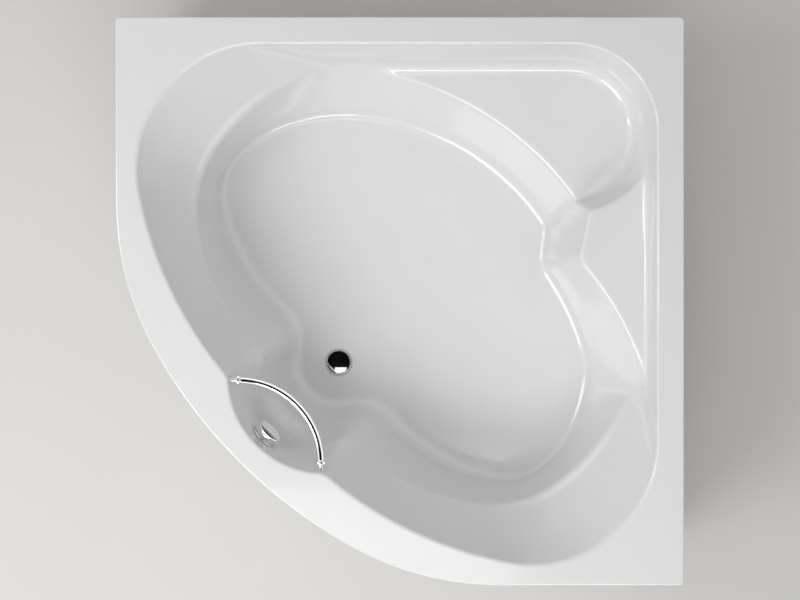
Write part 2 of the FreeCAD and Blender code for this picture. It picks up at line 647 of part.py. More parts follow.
def make_waste():
    save("waste_flange", waste_flange())
    save("flange_seal", ring(FLANGE_R - 1, DRAIN_HOLE_R, SEAL_THICK, spot(DRAIN_U, 0, RECESS_Z)))
    save("waste_plug", waste_plug())
    save("plug_seal", ring(PLUG_R - 3, STEM_R, PLUG_SEAL_THICK, spot(DRAIN_U, 0, PLUG_Z - PLUG_SEAL_THICK)))
    save("waste_body", waste_body())
    save("body_seal", ring(BODY_R, DRAIN_HOLE_R, SEAL_THICK, spot(DRAIN_U, 0, BODY_TOP)))
    save("lift_lever", lift_lever())
    save("lever_pin", Part.makeCylinder(LEVER_PIN_R, 2 * PIN_HALF, spot(LEVER_U, -PIN_HALF, LEVER_Z), V_WAY))


# ---------------------------------------------------------------- trap

def trap_body():
    """Cup of the trap: the tail pipe dips into it, and the outlet leaves it towards the side wall."""
    base = spot(DRAIN_U, 0, TRAP_LOW)
    outlet = spot(DRAIN_U, 0, OUTLET_Z)
    dip_low = base + UP * (TRAP_HEIGHT * (1 - DIP_SHARE))
    cup = Part.makeCylinder(TRAP_R, TRAP_HEIGHT, base)
    cup = cup.makeFillet(TRAP_ROUND, [e for e in cup.Edges if e.BoundBox.ZMax < TRAP_LOW + 1])
    cup = cup.fuse(Part.makeCylinder(STUB_R, TRAP_R + OUTLET_STUB, outlet, OUTLET_WAY))
    room = Part.makeCylinder(TRAP_R - BODY_WALL, TRAP_HEIGHT - 2 * BODY_WALL, base + UP * BODY_WALL)
    room = room.fuse(Part.makeCylinder(TAIL_R - BODY_WALL, TRAP_R + 2 * OUTLET_STUB, outlet, OUTLET_WAY))
    room = room.cut(Part.makeCylinder(TAIL_R, TRAP_HEIGHT, dip_low))
    collar = ring(TAIL_R + 4.0, TAIL_R + FIT_GAP, TRAP_COLLAR, spot(DRAIN_U, 0, TRAP_TOP - TRAP_COLLAR))
    return cup.cut(room).fuse(collar).cut(Part.makeCylinder(TAIL_R - BODY_WALL, TRAP_HEIGHT, dip_low - UP))


def make_trap():
    save("trap_body", trap_body())
    nut_low = TRAP_TOP - TRAP_NUT_OVERLAP
    nut = hexagon(TAIL_R + 9.0, TRAP_NUT, spot(DRAIN_U, 0, nut_low), TAIL_R + 4.0 + FIT_GAP)
    lid = ring(TAIL_R + 7.0, TAIL_R + FIT_GAP, BODY_WALL, spot(DRAIN_U, 0, nut_low + TRAP_NUT))
    save("trap_nut", nut.fuse(lid))
    joint = spot(DRAIN_U, 0, OUTLET_Z) + OUTLET_WAY * (TRAP_R + OUTLET_STUB)
    face = joint + OUTLET_WAY * (OUTLET_NUT / 2)
    spigot = Part.makeCylinder(TAIL_R - SPIGOT_STEP, OUTLET_NUT / 2, joint, OUTLET_WAY)
    pipe = spigot.fuse(Part.makeCylinder(TAIL_R, OUTLET_PIPE, face, OUTLET_WAY))
    bore = Part.makeCylinder(TAIL_R - OUTLET_WALL, 2 * OUTLET_PIPE, joint, OUTLET_WAY)
    save("outlet_pipe", pipe.cut(bore))
    nut = hexagon(TAIL_R + 9.0, OUTLET_NUT - BODY_WALL, joint - OUTLET_WAY * (OUTLET_NUT / 2),
                  STUB_R + FIT_GAP, OUTLET_WAY)
    lid = ring(TAIL_R + 7.0, TAIL_R - SPIGOT_STEP + FIT_GAP, BODY_WALL, face - OUTLET_WAY * BODY_WALL,
               OUTLET_WAY)
    save("outlet_nut", nut.fuse(lid))


# ---------------------------------------------------------------- overflow

def overflow_rosette():
    disc = Part.makeCylinder(ROSETTE_R, ROSETTE_THICK, overflow(0), NICHE_WAY)
    front = overflow(ROSETTE_THICK)
    rim = [e for e in disc.Edges if e.Length > 1 and (e.BoundBox.Center - front).Length < 1.0]
    disc = disc.makeFillet(1.5, rim)
    neck = Part.makeCylinder(NECK_OVER_R, NECK_OVER_LENGTH + 1, overflow(-NECK_OVER_LENGTH), NICHE_WAY)
    bore = Part.makeCylinder(NECK_OVER_R - NECK_OVER_WALL, NECK_OVER_LENGTH + 1,
                             overflow(-NECK_OVER_LENGTH - 1), NICHE_WAY)
    piece = disc.fuse(neck).cut(bore)
    for i in range(OVERFLOW_SLOTS):
        turn = FreeCAD.Rotation(NICHE_WAY, 360.0 * i / OVERFLOW_SLOTS)
        centre = overflow(-1) + turn.multVec(V_WAY * SLOT_RING)
        piece = piece.cut(Part.makeCylinder(SLOT_R, 2 * ROSETTE_THICK, centre, NICHE_WAY))
    return piece.cut(Part.makeCylinder(SPINDLE_R + RUN_GAP, 3 * ROSETTE_THICK, overflow(-ROSETTE_THICK),
                                       NICHE_WAY))


def overflow_knob():
    back = ROSETTE_THICK + KNOB_GAP
    knob = Part.makeCylinder(KNOB_R, KNOB_THICK, overflow(back), NICHE_WAY)
    front = overflow(back + KNOB_THICK)
    face_edge = [e for e in knob.Edges if e.Length > 1 and (e.BoundBox.Center - front).Length < 1.0]
    knob = knob.makeFillet(2.0, face_edge)
    hollow = Part.makeCylinder(KNOB_R - KNOB_WALL - KNOB_GRIP_CUT, KNOB_THICK - KNOB_WALL, overflow(back),
                               NICHE_WAY)
    hub = Part.makeCylinder(2 * SPINDLE_R, KNOB_THICK - KNOB_WALL, overflow(back), NICHE_WAY)
    knob = knob.cut(hollow.cut(hub))
    for i in range(KNOB_GRIPS):
        turn = FreeCAD.Rotation(NICHE_WAY, 360.0 * (i + 0.5) / KNOB_GRIPS)
        centre = overflow(back - 1) + turn.multVec(V_WAY * (KNOB_R + KNOB_GRIP_R - KNOB_GRIP_CUT))
        knob = knob.cut(Part.makeCylinder(KNOB_GRIP_R, 2 * KNOB_THICK, centre, NICHE_WAY))
    return knob.cut(Part.makeCylinder(SPINDLE_R, SPINDLE_IN, overflow(back - 0.01), NICHE_WAY))


def overflow_body():
    front = -PAD_DEPTH - SEAL_THICK
    back = front - CUP_DEPTH
    spigot_low = HOSE_TOP - SPIGOT
    cup_low = CUP_CENTRE.z - 0.75 * CUP_R
    body = Part.makeCylinder(CUP_R, CUP_DEPTH, overflow(back), NICHE_WAY)
    body = body.fuse(Part.makeCylinder(HOSE_R, cup_low - HOSE_TOP, spot(HOSE_U, 0, HOSE_TOP)))
    body = body.fuse(Part.makeCylinder(HOSE_BORE_R - HOSE_SLACK, SPIGOT + 1, spot(HOSE_U, 0, spigot_low)))
    body = body.fuse(Part.makeCylinder(PORT_R, CABLE_OUT, CUP_CENTRE, V_WAY - UP))
    body = body.cut(Part.makeCylinder(CUP_R - BODY_WALL, CUP_DEPTH - 2 * BODY_WALL,
                                      overflow(back + BODY_WALL), NICHE_WAY))
    body = body.cut(Part.makeCylinder(NECK_OVER_R + FIT_GAP, 3 * BODY_WALL, overflow(front - 2 * BODY_WALL),
                                      NICHE_WAY))
    body = body.cut(Part.makeCylinder(HOSE_BORE_R - SPIGOT_WALL, CUP_CENTRE.z - spigot_low + 1,
                                      spot(HOSE_U, 0, spigot_low - 1)))
    body = body.fuse(Part.makeCylinder(2 * SPINDLE_R, 2 * BODY_WALL, overflow(back + BODY_WALL / 2),
                                       NICHE_WAY))
    return body.cut(Part.makeCylinder(SPINDLE_R + RUN_GAP, 2 * BODY_WALL, overflow(back + BODY_WALL - 0.5),
                                      NICHE_WAY))


def knob_spindle():
    """Shaft from the knob to the cup, with the drum that winds the cable's wire."""
    back = -PAD_DEPTH - SEAL_THICK - CUP_DEPTH + BODY_WALL
    front = ROSETTE_THICK + KNOB_GAP + SPINDLE_IN
    shaft = Part.makeCylinder(SPINDLE_R, front - back, overflow(back), NICHE_WAY)
    drum = Part.makeCylinder(DRUM_R, DRUM_THICK, overflow(back + 2 * BODY_WALL), NICHE_WAY)
    groove = ring(DRUM_R + 1, DRUM_R - DRUM_GROOVE, DRUM_GROOVE,
                  overflow(back + 2 * BODY_WALL + (DRUM_THICK - DRUM_GROOVE) / 2), NICHE_WAY)
    return shaft.fuse(drum).cut(groove)


def ribbed_hose():
    """Ribbed hose from the overflow to the waste: down, round one wide bend and level under the floor."""
    down = HOSE_TOP - HOSE_Z - HOSE_BEND
    level = (HOSE_END_U - HOSE_U) - HOSE_BEND
    arc = HOSE_BEND * math.pi / 2
    middle = (HOSE_U + HOSE_BEND, HOSE_Z + HOSE_BEND)

    def place(s):
        if s <= down:
            return spot(HOSE_U, 0, HOSE_TOP - s), -UP
        if s <= down + arc:
            turn = (s - down) / HOSE_BEND
            point = spot(middle[0] - HOSE_BEND * math.cos(turn), 0, middle[1] - HOSE_BEND * math.sin(turn))
            return point, U_WAY * math.sin(turn) - UP * math.cos(turn)
        return spot(middle[0] + s - down - arc, 0, HOSE_Z), U_WAY

    def circle(s, radius):
        point, way = place(s)
        turn = FreeCAD.Rotation(V_WAY, FreeCAD.Vector(), way, "XZY")
        loop = Part.Circle(FreeCAD.Vector(), UP, radius).toShape()
        loop.Placement = FreeCAD.Placement(point, turn)
        return Part.Wire(loop)

    whole = down + arc + level
    pitch = (whole - 2 * HOSE_CUFF) / HOSE_RIBS
    sections = [circle(0, HOSE_R)]
    for i in range(HOSE_RIBS):
        start = HOSE_CUFF + i * pitch
        for share, radius in RIB_SHAPE:
            sections.append(circle(start + share * pitch, radius))
    sections.append(circle(whole, HOSE_R))
    skin = Part.makeLoft(sections, True, True)
    bore = Part.makeCylinder(HOSE_BORE_R, down + 1, spot(HOSE_U, 0, HOSE_TOP + 1), -UP)
    bend = Part.Face(Part.Wire(Part.Circle(spot(HOSE_U, 0, middle[1]), UP, HOSE_BORE_R).toShape()))
    bore = bore.fuse(bend.revolve(spot(middle[0], 0, middle[1]), V_WAY, -90))
    bore = bore.fuse(Part.makeCylinder(HOSE_BORE_R, level + 1, spot(middle[0], 0, HOSE_Z), U_WAY))
    print("hose length", round(whole), "ribs", HOSE_RIBS, "pitch", round(pitch, 2))
    return skin.cut(bore)


def rounded_path(points):
    """Straight runs joined by the widest tangent arcs that they allow, and the arcs' radii."""
    edges = []
    radii = []
    here = points[0]
    for before, corner, after in zip(points, points[1:], points[2:]):
        into = before - corner
        out = after - corner
        half = (math.pi - into.getAngle(out)) / 2
        reach = 0.45 * min(into.Length, out.Length)
        radii.append(reach / math.tan(half))
        into.normalize()
        out.normalize()
        first = corner + into * reach
        last = corner + out * reach
        bisector = into + out
        bisector.normalize()
        between = corner + bisector * (radii[-1] / math.cos(half) - radii[-1])
        edges += [Part.LineSegment(here, first).toShape(), Part.Arc(first, between, last).toShape()]
        here = last
    edges.append(Part.LineSegment(here, points[-1]).toShape())
    return Part.Wire(edges), radii


def pull_cable():
    """Sheathed cable from the knob's drum to the lever under the plug, beside the hose."""
    points = [spot(*p) for p in CABLE_ROUTE]
    path, radii = rounded_path(points)
    print("cable bend radii", [round(r) for r in radii], "length", round(path.Length))
    way = points[1] - points[0]
    section = Part.Wire(Part.Circle(points[0], way, CABLE_R).toShape())
    cable = path.makePipeShell([section], True, False)
    print("cable volume share", round(cable.Volume / (math.pi * CABLE_R ** 2 * path.Length), 4))
    return cable


def make_overflow():
    front = -PAD_DEPTH - SEAL_THICK
    save("overflow_rosette", overflow_rosette())
    save("overflow_knob", overflow_knob())
    save("knob_spindle", knob_spindle())
    save("overflow_body", overflow_body())
    save("overflow_seal", ring(CUP_R, OVERFLOW_HOLE_R, SEAL_THICK, overflow(front), NICHE_WAY))
    save("overflow_hose", ribbed_hose())
    save("pull_cable", pull_cable())
    upper = ring(HOSE_R + HOSE_NUT_WALL, HOSE_R + FIT_GAP, HOSE_NUT,
                 spot(HOSE_U, 0, HOSE_TOP - HOSE_NUT / 2))
    lower = ring(HOSE_R + HOSE_NUT_WALL, HOSE_R + FIT_GAP, HOSE_NUT,
                 spot(HOSE_END_U - HOSE_NUT / 2, 0, HOSE_Z), U_WAY)
    save("hose_nuts", Part.makeCompound([upper, lower]))


# ---------------------------------------------------------------- grab bar

def make_grab_bar():
    start, way = bar_end(-1)
    outer = Part.Face(Part.Wire(Part.Circle(start, way, BAR_R).toShape()))
    inner = Part.Face(Part.Wire(Part.Circle(start, way, BAR_R - BAR_WALL).toShape()))
    middle = spot(BAR_MIDDLE_U, 0, RIM_HEIGHT - BAR_DEPTH)
    bar = outer.cut(inner).revolve(middle, UP, 2 * BAR_HALF_TURN)
    save("grab_bar", bar)
    sets = {"grab_bar_collars": [], "grab_bar_posts": [], "grab_bar_washers": [], "grab_bar_nuts": []}
    for side in (1, -1):
        end, way = bar_end(side)
        collar = Part.makeCylinder(COLLAR_R, COLLAR_LENGTH, end, way)
        outside = [e for e in collar.Edges if e.Closed]
        sets["grab_bar_collars"].append(collar.makeChamfer(COLLAR_CHAMFER, outside))
        wall_end = COLLAR_LENGTH + BOSS_LENGTH
        sets["grab_bar_posts"].append(Part.makeCylinder(POST_R, BOSS_LENGTH + POST_TAIL,
                                                        end + way * COLLAR_LENGTH, way))
        sets["grab_bar_washers"].append(ring(2 * POST_R, POST_R + FIT_GAP, WASHER_THICK,
                                             end + way * wall_end, way))
        sets["grab_bar_nuts"].append(hexagon(1.8 * POST_R, 1.2 * POST_R,
                                             end + way * (wall_end + WASHER_THICK),
                                             POST_R + FIT_GAP, way))
    for name, solids in sets.items():
        save(name, Part.makeCompound(solids))


# ---------------------------------------------------------------- underframe

def bar_along(start, way, length):
    """Square tube that runs from start along way, its top face under the board."""
    turn = FreeCAD.Rotation(FreeCAD.Vector(1, 0, 0), way)
    outer = Part.makeBox(length, BAR_TUBE, BAR_TUBE, FreeCAD.Vector(0, -BAR_TUBE / 2, -BAR_TUBE))
    room = BAR_TUBE - 2 * BAR_TUBE_WALL
    inner = Part.makeBox(length + 2, room, room, FreeCAD.Vector(-1, -room / 2, -BAR_TUBE + BAR_TUBE_WALL))
    tube = outer.cut(inner)
    tube.Placement = FreeCAD.Placement(start, turn)
    return tube


def foot_places():
    rear = REAR_BAR_HALF - FOOT_INSET
    front = FRONT_BAR_HALF - FOOT_INSET
    centre = (REAR_BAR_U + FRONT_BAR_U) / 2
    return [(REAR_BAR_U, rear), (REAR_BAR_U, -rear), (FRONT_BAR_U, front), (FRONT_BAR_U, -front),
            (centre, 0.0)]


def screw_places():
    rows = [(REAR_BAR_U, REAR_BAR_HALF), (FRONT_BAR_U, FRONT_BAR_HALF)]
    return [(u, side * share * v) for u, v in rows for share in SCREW_SHARES for side in (1, -1)]


def make_frame(outer_plug):
    holes = [Part.makeCylinder(BUSH_R, 2 * BAR_TUBE, spot(u, v, BOARD_Z - 1.5 * BAR_TUBE)) for u,
             v in foot_places()]
    rod_ways = [Part.makeCylinder(ROD_R + ROD_WAY, 2 * BAR_TUBE, spot(u, v, BOARD_Z - 1)) for u,
                v in foot_places()]
    wide = [Part.makeCylinder(SCREW_R + FIT_GAP, BAR_TUBE + 2, spot(u, v, BOARD_Z - BAR_TUBE - 1))
            for u, v in screw_places()]
    tight = [Part.makeCylinder(SCREW_R, SCREW_IN, spot(u, v, BOARD_Z)) for u, v in screw_places()]
    rear = bar_along(spot(REAR_BAR_U, -REAR_BAR_HALF, BOARD_Z), V_WAY, 2 * REAR_BAR_HALF)
    front = bar_along(spot(FRONT_BAR_U, -FRONT_BAR_HALF, BOARD_Z), V_WAY, 2 * FRONT_BAR_HALF)
    tie_start = FRONT_BAR_U + BAR_TUBE / 2
    tie = bar_along(spot(tie_start, 0, BOARD_Z), U_WAY, REAR_BAR_U - BAR_TUBE / 2 - tie_start)
    for name, bar in (("frame_bar_rear", rear), ("frame_bar_front", front), ("frame_tie", tie)):
        save(name, bar.cut(Part.makeCompound(holes + wide)))
    board = prism(BOARD_HALF + tuple(flip(p) for p in BOARD_HALF[:0:-1]), BOARD_Z, FLOOR_Z + BOARD_RISE)
    save("base_board", board.cut(outer_plug).cut(Part.makeCompound(rod_ways + tight)))
    screws = []
    for u, v in screw_places():
        shank = Part.makeCylinder(SCREW_R, BAR_TUBE + SCREW_IN, spot(u, v, BOARD_Z - BAR_TUBE))
        head = Part.makeCone(SCREW_R, 2 * SCREW_R, SCREW_HEAD, spot(u, v, BOARD_Z - BAR_TUBE - SCREW_HEAD))
        screws.append(shank.fuse(head))
    save("frame_screws", Part.makeCompound(screws))


def make_feet():
    low = BOARD_Z - BAR_TUBE - BUSH_OUT
    bushes = [ring(BUSH_R, ROD_R + RUN_GAP, BAR_TUBE + BUSH_OUT, spot(u, v, low)) for u, v in foot_places()]
    nuts = [hexagon(NUT_R, NUT_HEIGHT, spot(u, v, low - NUT_HEIGHT), ROD_R + RUN_GAP)
            for u, v in foot_places()]
    save("foot_bushes", Part.makeCompound(bushes))
    save("foot_lock_nuts", Part.makeCompound(nuts))
    for number, (u, v) in enumerate(foot_places(), 1):
        rod = Part.makeCylinder(ROD_R, ROD_TOP - ROD_LOW, spot(u, v, ROD_LOW))
        save("foot_rod_%d" % number, rod.makeChamfer(1.0, [e for e in rod.Edges if e.Closed]))
        pad = Part.makeCone(PAD_R, PAD_R * 0.8, PAD_HEIGHT, spot(u, v, 0))
        pad = pad.fuse(Part.makeCylinder(ROD_R + 4, PAD_HEIGHT + 6, spot(u, v, 0)))
        save("foot_pad_%d" % number, pad.cut(Part.makeCylinder(ROD_R, 3 * PAD_HEIGHT, spot(u, v, ROD_LOW))))


# ---------------------------------------------------------------- rim support and apron

def make_rim_parts():
    under = RIM_HEIGHT - WALL
    near = SIDE / 2 - RIM_WALL_GAP + BATTEN_OFF
    back = Part.makeBox(BATTEN_LENGTH, BATTEN_WIDTH, BATTEN_THICK,
                        FreeCAD.Vector(BATTEN_END - BATTEN_LENGTH, near, under - BATTEN_THICK))
    side = Part.makeBox(BATTEN_WIDTH, BATTEN_LENGTH, BATTEN_THICK,
                        FreeCAD.Vector(near, BATTEN_END - BATTEN_LENGTH, under - BATTEN_THICK))
    save("rim_batten_back", back)
    save("rim_batten_side", side)
    panel_in = WALL + PANEL_GAP + PANEL_THICK
    strip_in = panel_in + CLIP_THICK
    strip = rim_band(strip_in, strip_in + BATTEN_THICK, under - STRIP_HEIGHT, under)
    keep = prism([(-2 * SIDE, -SIDE), (STRIP_END_U, -SIDE), (STRIP_END_U, SIDE), (-2 * SIDE, SIDE)],
                 0, RIM_HEIGHT + 1)
    save("rim_batten_front", strip.common(keep))
    reach = SIDE / 2 - PANEL_WALL_GAP
    room = Part.makeBox(SIDE + 200, SIDE + 200, RIM_HEIGHT,
                        FreeCAD.Vector(reach - SIDE - 200, reach - SIDE - 200, 0))
    panel = rim_band(WALL + PANEL_GAP, panel_in, PANEL_FOOT, under - PANEL_HEAD_GAP)
    foot = rim_band(WALL + PANEL_GAP, panel_in + PANEL_FLANGE, PANEL_FOOT, PANEL_FOOT + PANEL_THICK)
    wall_side = Part.makeBox(SIDE, SIDE, RIM_HEIGHT,
                             FreeCAD.Vector(SIDE / 2 - LIP_HEIGHT, LIP_HEIGHT - SIDE / 2, 0))
    back_side = Part.makeBox(SIDE, SIDE, RIM_HEIGHT,
                             FreeCAD.Vector(LIP_HEIGHT - SIDE / 2, SIDE / 2 - LIP_HEIGHT, 0))
    panel = panel.fuse(foot).common(room).cut(wall_side).cut(back_side)
    save("front_panel", panel)
    clips = []
    low = under - STRIP_HEIGHT
    tab = rim_band(panel_in + FIT_GAP, strip_in + BATTEN_THICK, low - CLIP_THICK, low)
    leaf = rim_band(panel_in + FIT_GAP, strip_in, low - CLIP_LEAF, low - CLIP_THICK)
    spring = tab.fuse(leaf)
    for turn in (-CLIP_TURN, 0.0, CLIP_TURN):
        slot = Part.makeBox(400, CLIP_WIDTH, RIM_HEIGHT, FreeCAD.Vector(-200, -CLIP_WIDTH / 2, 0))
        slot.rotate(FreeCAD.Vector(), UP, 45 + turn)
        slot.translate(spot(FRONT_RADIUS - FRONT_APEX - FRONT_RADIUS * math.cos(math.radians(turn)),
                            -FRONT_RADIUS * math.sin(math.radians(turn))))
        clips.append(spring.common(slot))
    save("panel_clips", Part.makeCompound(clips))


def wall_bracket():
    """Hook that the rim's turned-down edge stands in, drawn on the back wall at x = 0."""
    wall = SIDE / 2
    lip_low = RIM_HEIGHT - LIP_HEIGHT
    half = HOOK_WIDTH / 2
    plate = Part.makeBox(HOOK_WIDTH, HOOK_THICK, HOOK_HEIGHT,
                         FreeCAD.Vector(-half, wall - HOOK_THICK, lip_low - HOOK_HEIGHT))
    shelf = Part.makeBox(HOOK_WIDTH, HOOK_REACH, HOOK_THICK,
                         FreeCAD.Vector(-half, wall - HOOK_REACH, lip_low - HOOK_THICK))
    nose = Part.makeBox(HOOK_WIDTH, HOOK_THICK, HOOK_NOSE,
                        FreeCAD.Vector(-half, wall - HOOK_REACH, lip_low - HOOK_THICK))
    hook = plate.fuse(shelf).fuse(nose)
    for drop in (HOOK_HOLE_DROP, HOOK_HOLE_DROP + HOOK_HOLE_SPACE):
        start = FreeCAD.Vector(0, wall - 2 * HOOK_THICK, lip_low - drop)
        hook = hook.cut(Part.makeCylinder(HOOK_HOLE_R, 4 * HOOK_THICK, start, FreeCAD.Vector(0, 1, 0)))
    return hook


def make_brackets():
    brackets = []
    for along in HOOK_PLACES:
        back = wall_bracket()
        back.translate(FreeCAD.Vector(along, 0, 0))
        side = wall_bracket()
        side.rotate(FreeCAD.Vector(), UP, -90)
        side.translate(FreeCAD.Vector(0, along, 0))
        brackets += [back, side]
    save("wall_brackets", Part.makeCompound(brackets))


save("bath_shell", bath_shell())
make_waste()
make_trap()
make_overflow()
make_grab_bar()
make_frame(well_outside())
make_feet()
make_rim_parts()
make_brackets()
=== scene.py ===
import json
import math
import bmesh
import bpy
import numpy as np
from mathutils import Matrix, Vector


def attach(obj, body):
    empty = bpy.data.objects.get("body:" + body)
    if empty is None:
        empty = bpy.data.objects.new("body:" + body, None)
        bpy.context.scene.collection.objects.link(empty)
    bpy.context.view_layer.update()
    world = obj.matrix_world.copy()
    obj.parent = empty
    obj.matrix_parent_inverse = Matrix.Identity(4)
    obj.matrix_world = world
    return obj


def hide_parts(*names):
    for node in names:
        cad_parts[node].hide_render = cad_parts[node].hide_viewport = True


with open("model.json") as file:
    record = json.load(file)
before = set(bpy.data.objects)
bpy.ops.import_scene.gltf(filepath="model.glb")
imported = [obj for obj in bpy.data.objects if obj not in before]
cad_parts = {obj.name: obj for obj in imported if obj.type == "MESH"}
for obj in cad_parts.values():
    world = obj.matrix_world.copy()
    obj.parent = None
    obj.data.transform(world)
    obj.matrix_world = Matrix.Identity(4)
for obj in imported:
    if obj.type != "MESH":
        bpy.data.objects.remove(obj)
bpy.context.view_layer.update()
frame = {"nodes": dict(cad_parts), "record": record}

# Sizes are in millimetres.  u runs along the diagonal towards the room corner, v across it, z up.
ROOT_HALF = math.sqrt(0.5)
DIAGONAL = Matrix.Rotation(math.radians(45), 4, "Z") @ Matrix.Scale(0.001, 4)
SIDE = 1500.0
RIM_Z = 580.0
SEAT_Z = 370.0
SHELF_Z = 485.0
FLOOR_Z = 150.0  # at the drain
FLOOR_FALL = 0.02
WALL = 6.0  # acrylic and backing together
BOSS_Z = 139.0  # underside of the wall at the drain
DRAIN_U = -251.0

# The outer edge.
EDGE_CORNER = 12.0
FRONT_APEX = 600.0
FRONT_RADIUS = 1339.0
FRONT_TURN = 164.0  # where the front's arc begins
FLANK_TURN = 135.0  # where the arc beside it begins

# Outlines of the well: the turns at which their pieces meet, and each piece's radius or length.
TURNS = (0.0, 40.0, 65.0, 98.0, 146.0, 215.0)
SQUARE_TURNS = (0.0, 45.0, 45.0) + TURNS[2:]
RIM_GAP = 71.0
RIM_SIZES = (229.0, 820.0, 326.0, 326.0, 326.0, 1078.0)
SEAT_GAP = 99.0
SEAT_CORNER = 190.0
MID_START = 555.0
MID_RADII = (877.0, 176.0, 597.0, 306.0, 597.0)
FLOOR_START = 470.0
FLOOR_RADII = (722.0, 527.0, 322.0, 156.0, 538.0)
ACROSS_TURN = -60.0  # the first arc counts this far over the diagonal

# The overflow's niche: u of its middle and its radius, by outline.
NICHE = {"rim": (-275.0, 260.0), "seat": (-313.0, 165.0), "mid": (-313.0, 165.0), "floor": (-245.0, 135.0)}
LEAN = math.radians(15.19)  # tilt of the overflow's axis
LAND = (-514.4, 504.0)  # u and z of the middle of the flat land that it sits on
LAND_RADIUS = 41.0
LAND_DEPTH = 30.0

# Corners of the shelf's top and foot, on the side of negative v but written with v positive.
SHELF_TOP = ((537.0, 190.0), (418.7, 265.0), (375.7, 487.0), (274.0, 689.0))
SHELF_FOOT = ((552.8, 60.0), (361.5, 216.5), (312.0, 390.0), (180.0, 610.0))
SHELF_END = ((116.0, 39.0), (222.0, 25.0))  # the end wall's arc passes here, from the first corner
SHELF_FOOT_Z = 140.0

# Distances in plan times these are distances to a leaning wall.
WELL_LEAN = 0.96
FACET_LEAN = 0.85
SHELF_SIDE_LEAN = 0.9
SHELF_END_LEAN = 0.94

# Roundings.
RIM_ROUND = 5.5
SEAT_COVE = 30.0
SEAT_EDGE_ROUND = 9.0
BASIN_TOP = 20.0  # the basin's hollow reaches this far over the seat
BASIN_TOP_ROUND = 15.0
RIDGE_ROUND = 9.0  # beside the niche at the rim, and so much more at the floor
RIDGE_MORE = 66.0
RIDGE_POWER = 1.3
FLOOR_COVE = 38.0  # at the drain's end, and so much less beyond these u
FLOOR_COVE_LESS = 20.0
FLOOR_COVE_U = (-170.0, -20.0)
LAND_ROUND = 2.0
LAND_JOIN = 4.0
SHELF_NOSE_ROUND = 18.0
SHELF_EDGE_ROUND = 8.0
SHELF_COVE = 13.0  # and so much more at the end wall's foot
END_COVE_MORE = 42.0
END_COVE_U = (560.0, 630.0)
END_COVE_Z = (505.0, 425.0)

FAR = 9000.0
DEEP = 200.0  # distances inside the well are cut off here


def way(turn):
    """Unit plan vector at a turn in degrees, or one for each of several turns."""
    turn = np.radians(turn)
    return np.stack((np.cos(turn), np.sin(turn)), axis=-1)


def on_piece(piece, share):
    """Point at a share of a tangent piece, or one for each of several shares."""
    size, first, last, here, middle = piece
    if first == last:
        return here + np.multiply.outer(share, size * way(first + 90.0))
    return middle + size * way(first + share * (last - first))


def piece_length(piece):
    size, first, last = piece[:3]
    return size if first == last else size * math.radians(last - first)


def follow(start, sizes, turns):
    """Tangent pieces of one side of an outline: (size, first turn, last turn, start point, middle)."""
    here = np.array((start, 0.0))
    run = []
    for size, first, last in zip(sizes, turns, turns[1:]):
        middle = here if first == last else here - size * way(first)
        run.append((size, first, last, here, middle))
        here = on_piece(run[-1], 1.0)
    return run


def square_start(gap, radius):
    """Where a square outline with round corners crosses the diagonal, a gap inside the walls."""
    return (SIDE / 2 - gap - radius) / ROOT_HALF + radius


def seat_sizes():
    """Sizes of the seat's outline: along the walls, then round the lobe with the middle outline."""
    join = follow(MID_START, MID_RADII, TURNS)[2][3]
    square, lobe = SQUARE_TURNS[2:4]
    corner = follow(square_start(SEAT_GAP, SEAT_CORNER), (SEAT_CORNER, 0.0), SQUARE_TURNS[:3])[1][3]
    drop = (corner.sum() - join.sum()) * ROOT_HALF
    bend = drop / (1 - math.cos(math.radians(lobe - square)))
    away = join - corner - bend * (way(lobe) - way(square))
    return (SEAT_CORNER, (away[1] - away[0]) * ROOT_HALF, bend) + MID_RADII[2:]


RUNS = {"rim": follow(square_start(RIM_GAP, RIM_SIZES[0]), RIM_SIZES, SQUARE_TURNS),
        "seat": follow(square_start(SEAT_GAP, SEAT_CORNER), seat_sizes(), SQUARE_TURNS),
        "mid": follow(MID_START, MID_RADII, TURNS),
        "floor": follow(FLOOR_START, FLOOR_RADII, TURNS)}


# ---- the moulding's surface

def grade(value, start, end, least=0.0, most=1.0):
    """0 at start and 1 at end, held between least and most."""
    return np.clip((value - start) / (end - start), least, most)


def floor_level(u):
    return FLOOR_Z + FLOOR_FALL * (u - DRAIN_U)


def soften_join(a, b, r):
    """Smaller of two distances, rounded with radius r where they cross."""
    low = np.maximum(r, np.minimum(a, b))
    return low - np.hypot(np.maximum(r - a, 0), np.maximum(r - b, 0))


def soften_meet(a, b, r):
    """Larger of two distances, rounded with radius r where they cross."""
    return -soften_join(-a, -b, r)


def inside_oval(p, upper, lower, share):
    """How far points lie inside an outline that changes evenly from the upper to the lower run."""
    plan = np.column_stack((p[:, 0], np.abs(p[:, 1])))
    best = np.full(len(plan), FAR)
    for a, b in zip(RUNS[upper], RUNS[lower]):
        size = a[0] + share * (b[0] - a[0])
        du, dv = (plan - (a[4] + share[:, None] * (b[4] - a[4]))).T
        first, last = a[1:3]
        if first == last:
            cos, sin = way(first)
            course = dv * cos - du * sin
            depth = -(du * cos + dv * sin)
            here = (course >= 0) & (course <= size)
        else:
            turn = np.degrees(np.arctan2(dv, du)) % 360.0
            turn = np.where(turn > 360.0 + ACROSS_TURN, turn - 360.0, turn)
            depth = size - np.hypot(du, dv)
            here = (turn >= (first or ACROSS_TURN)) & (turn <= last)
        best = np.where(here & (np.abs(depth) < np.abs(best)), depth, best)
    return np.minimum(best, DEEP)


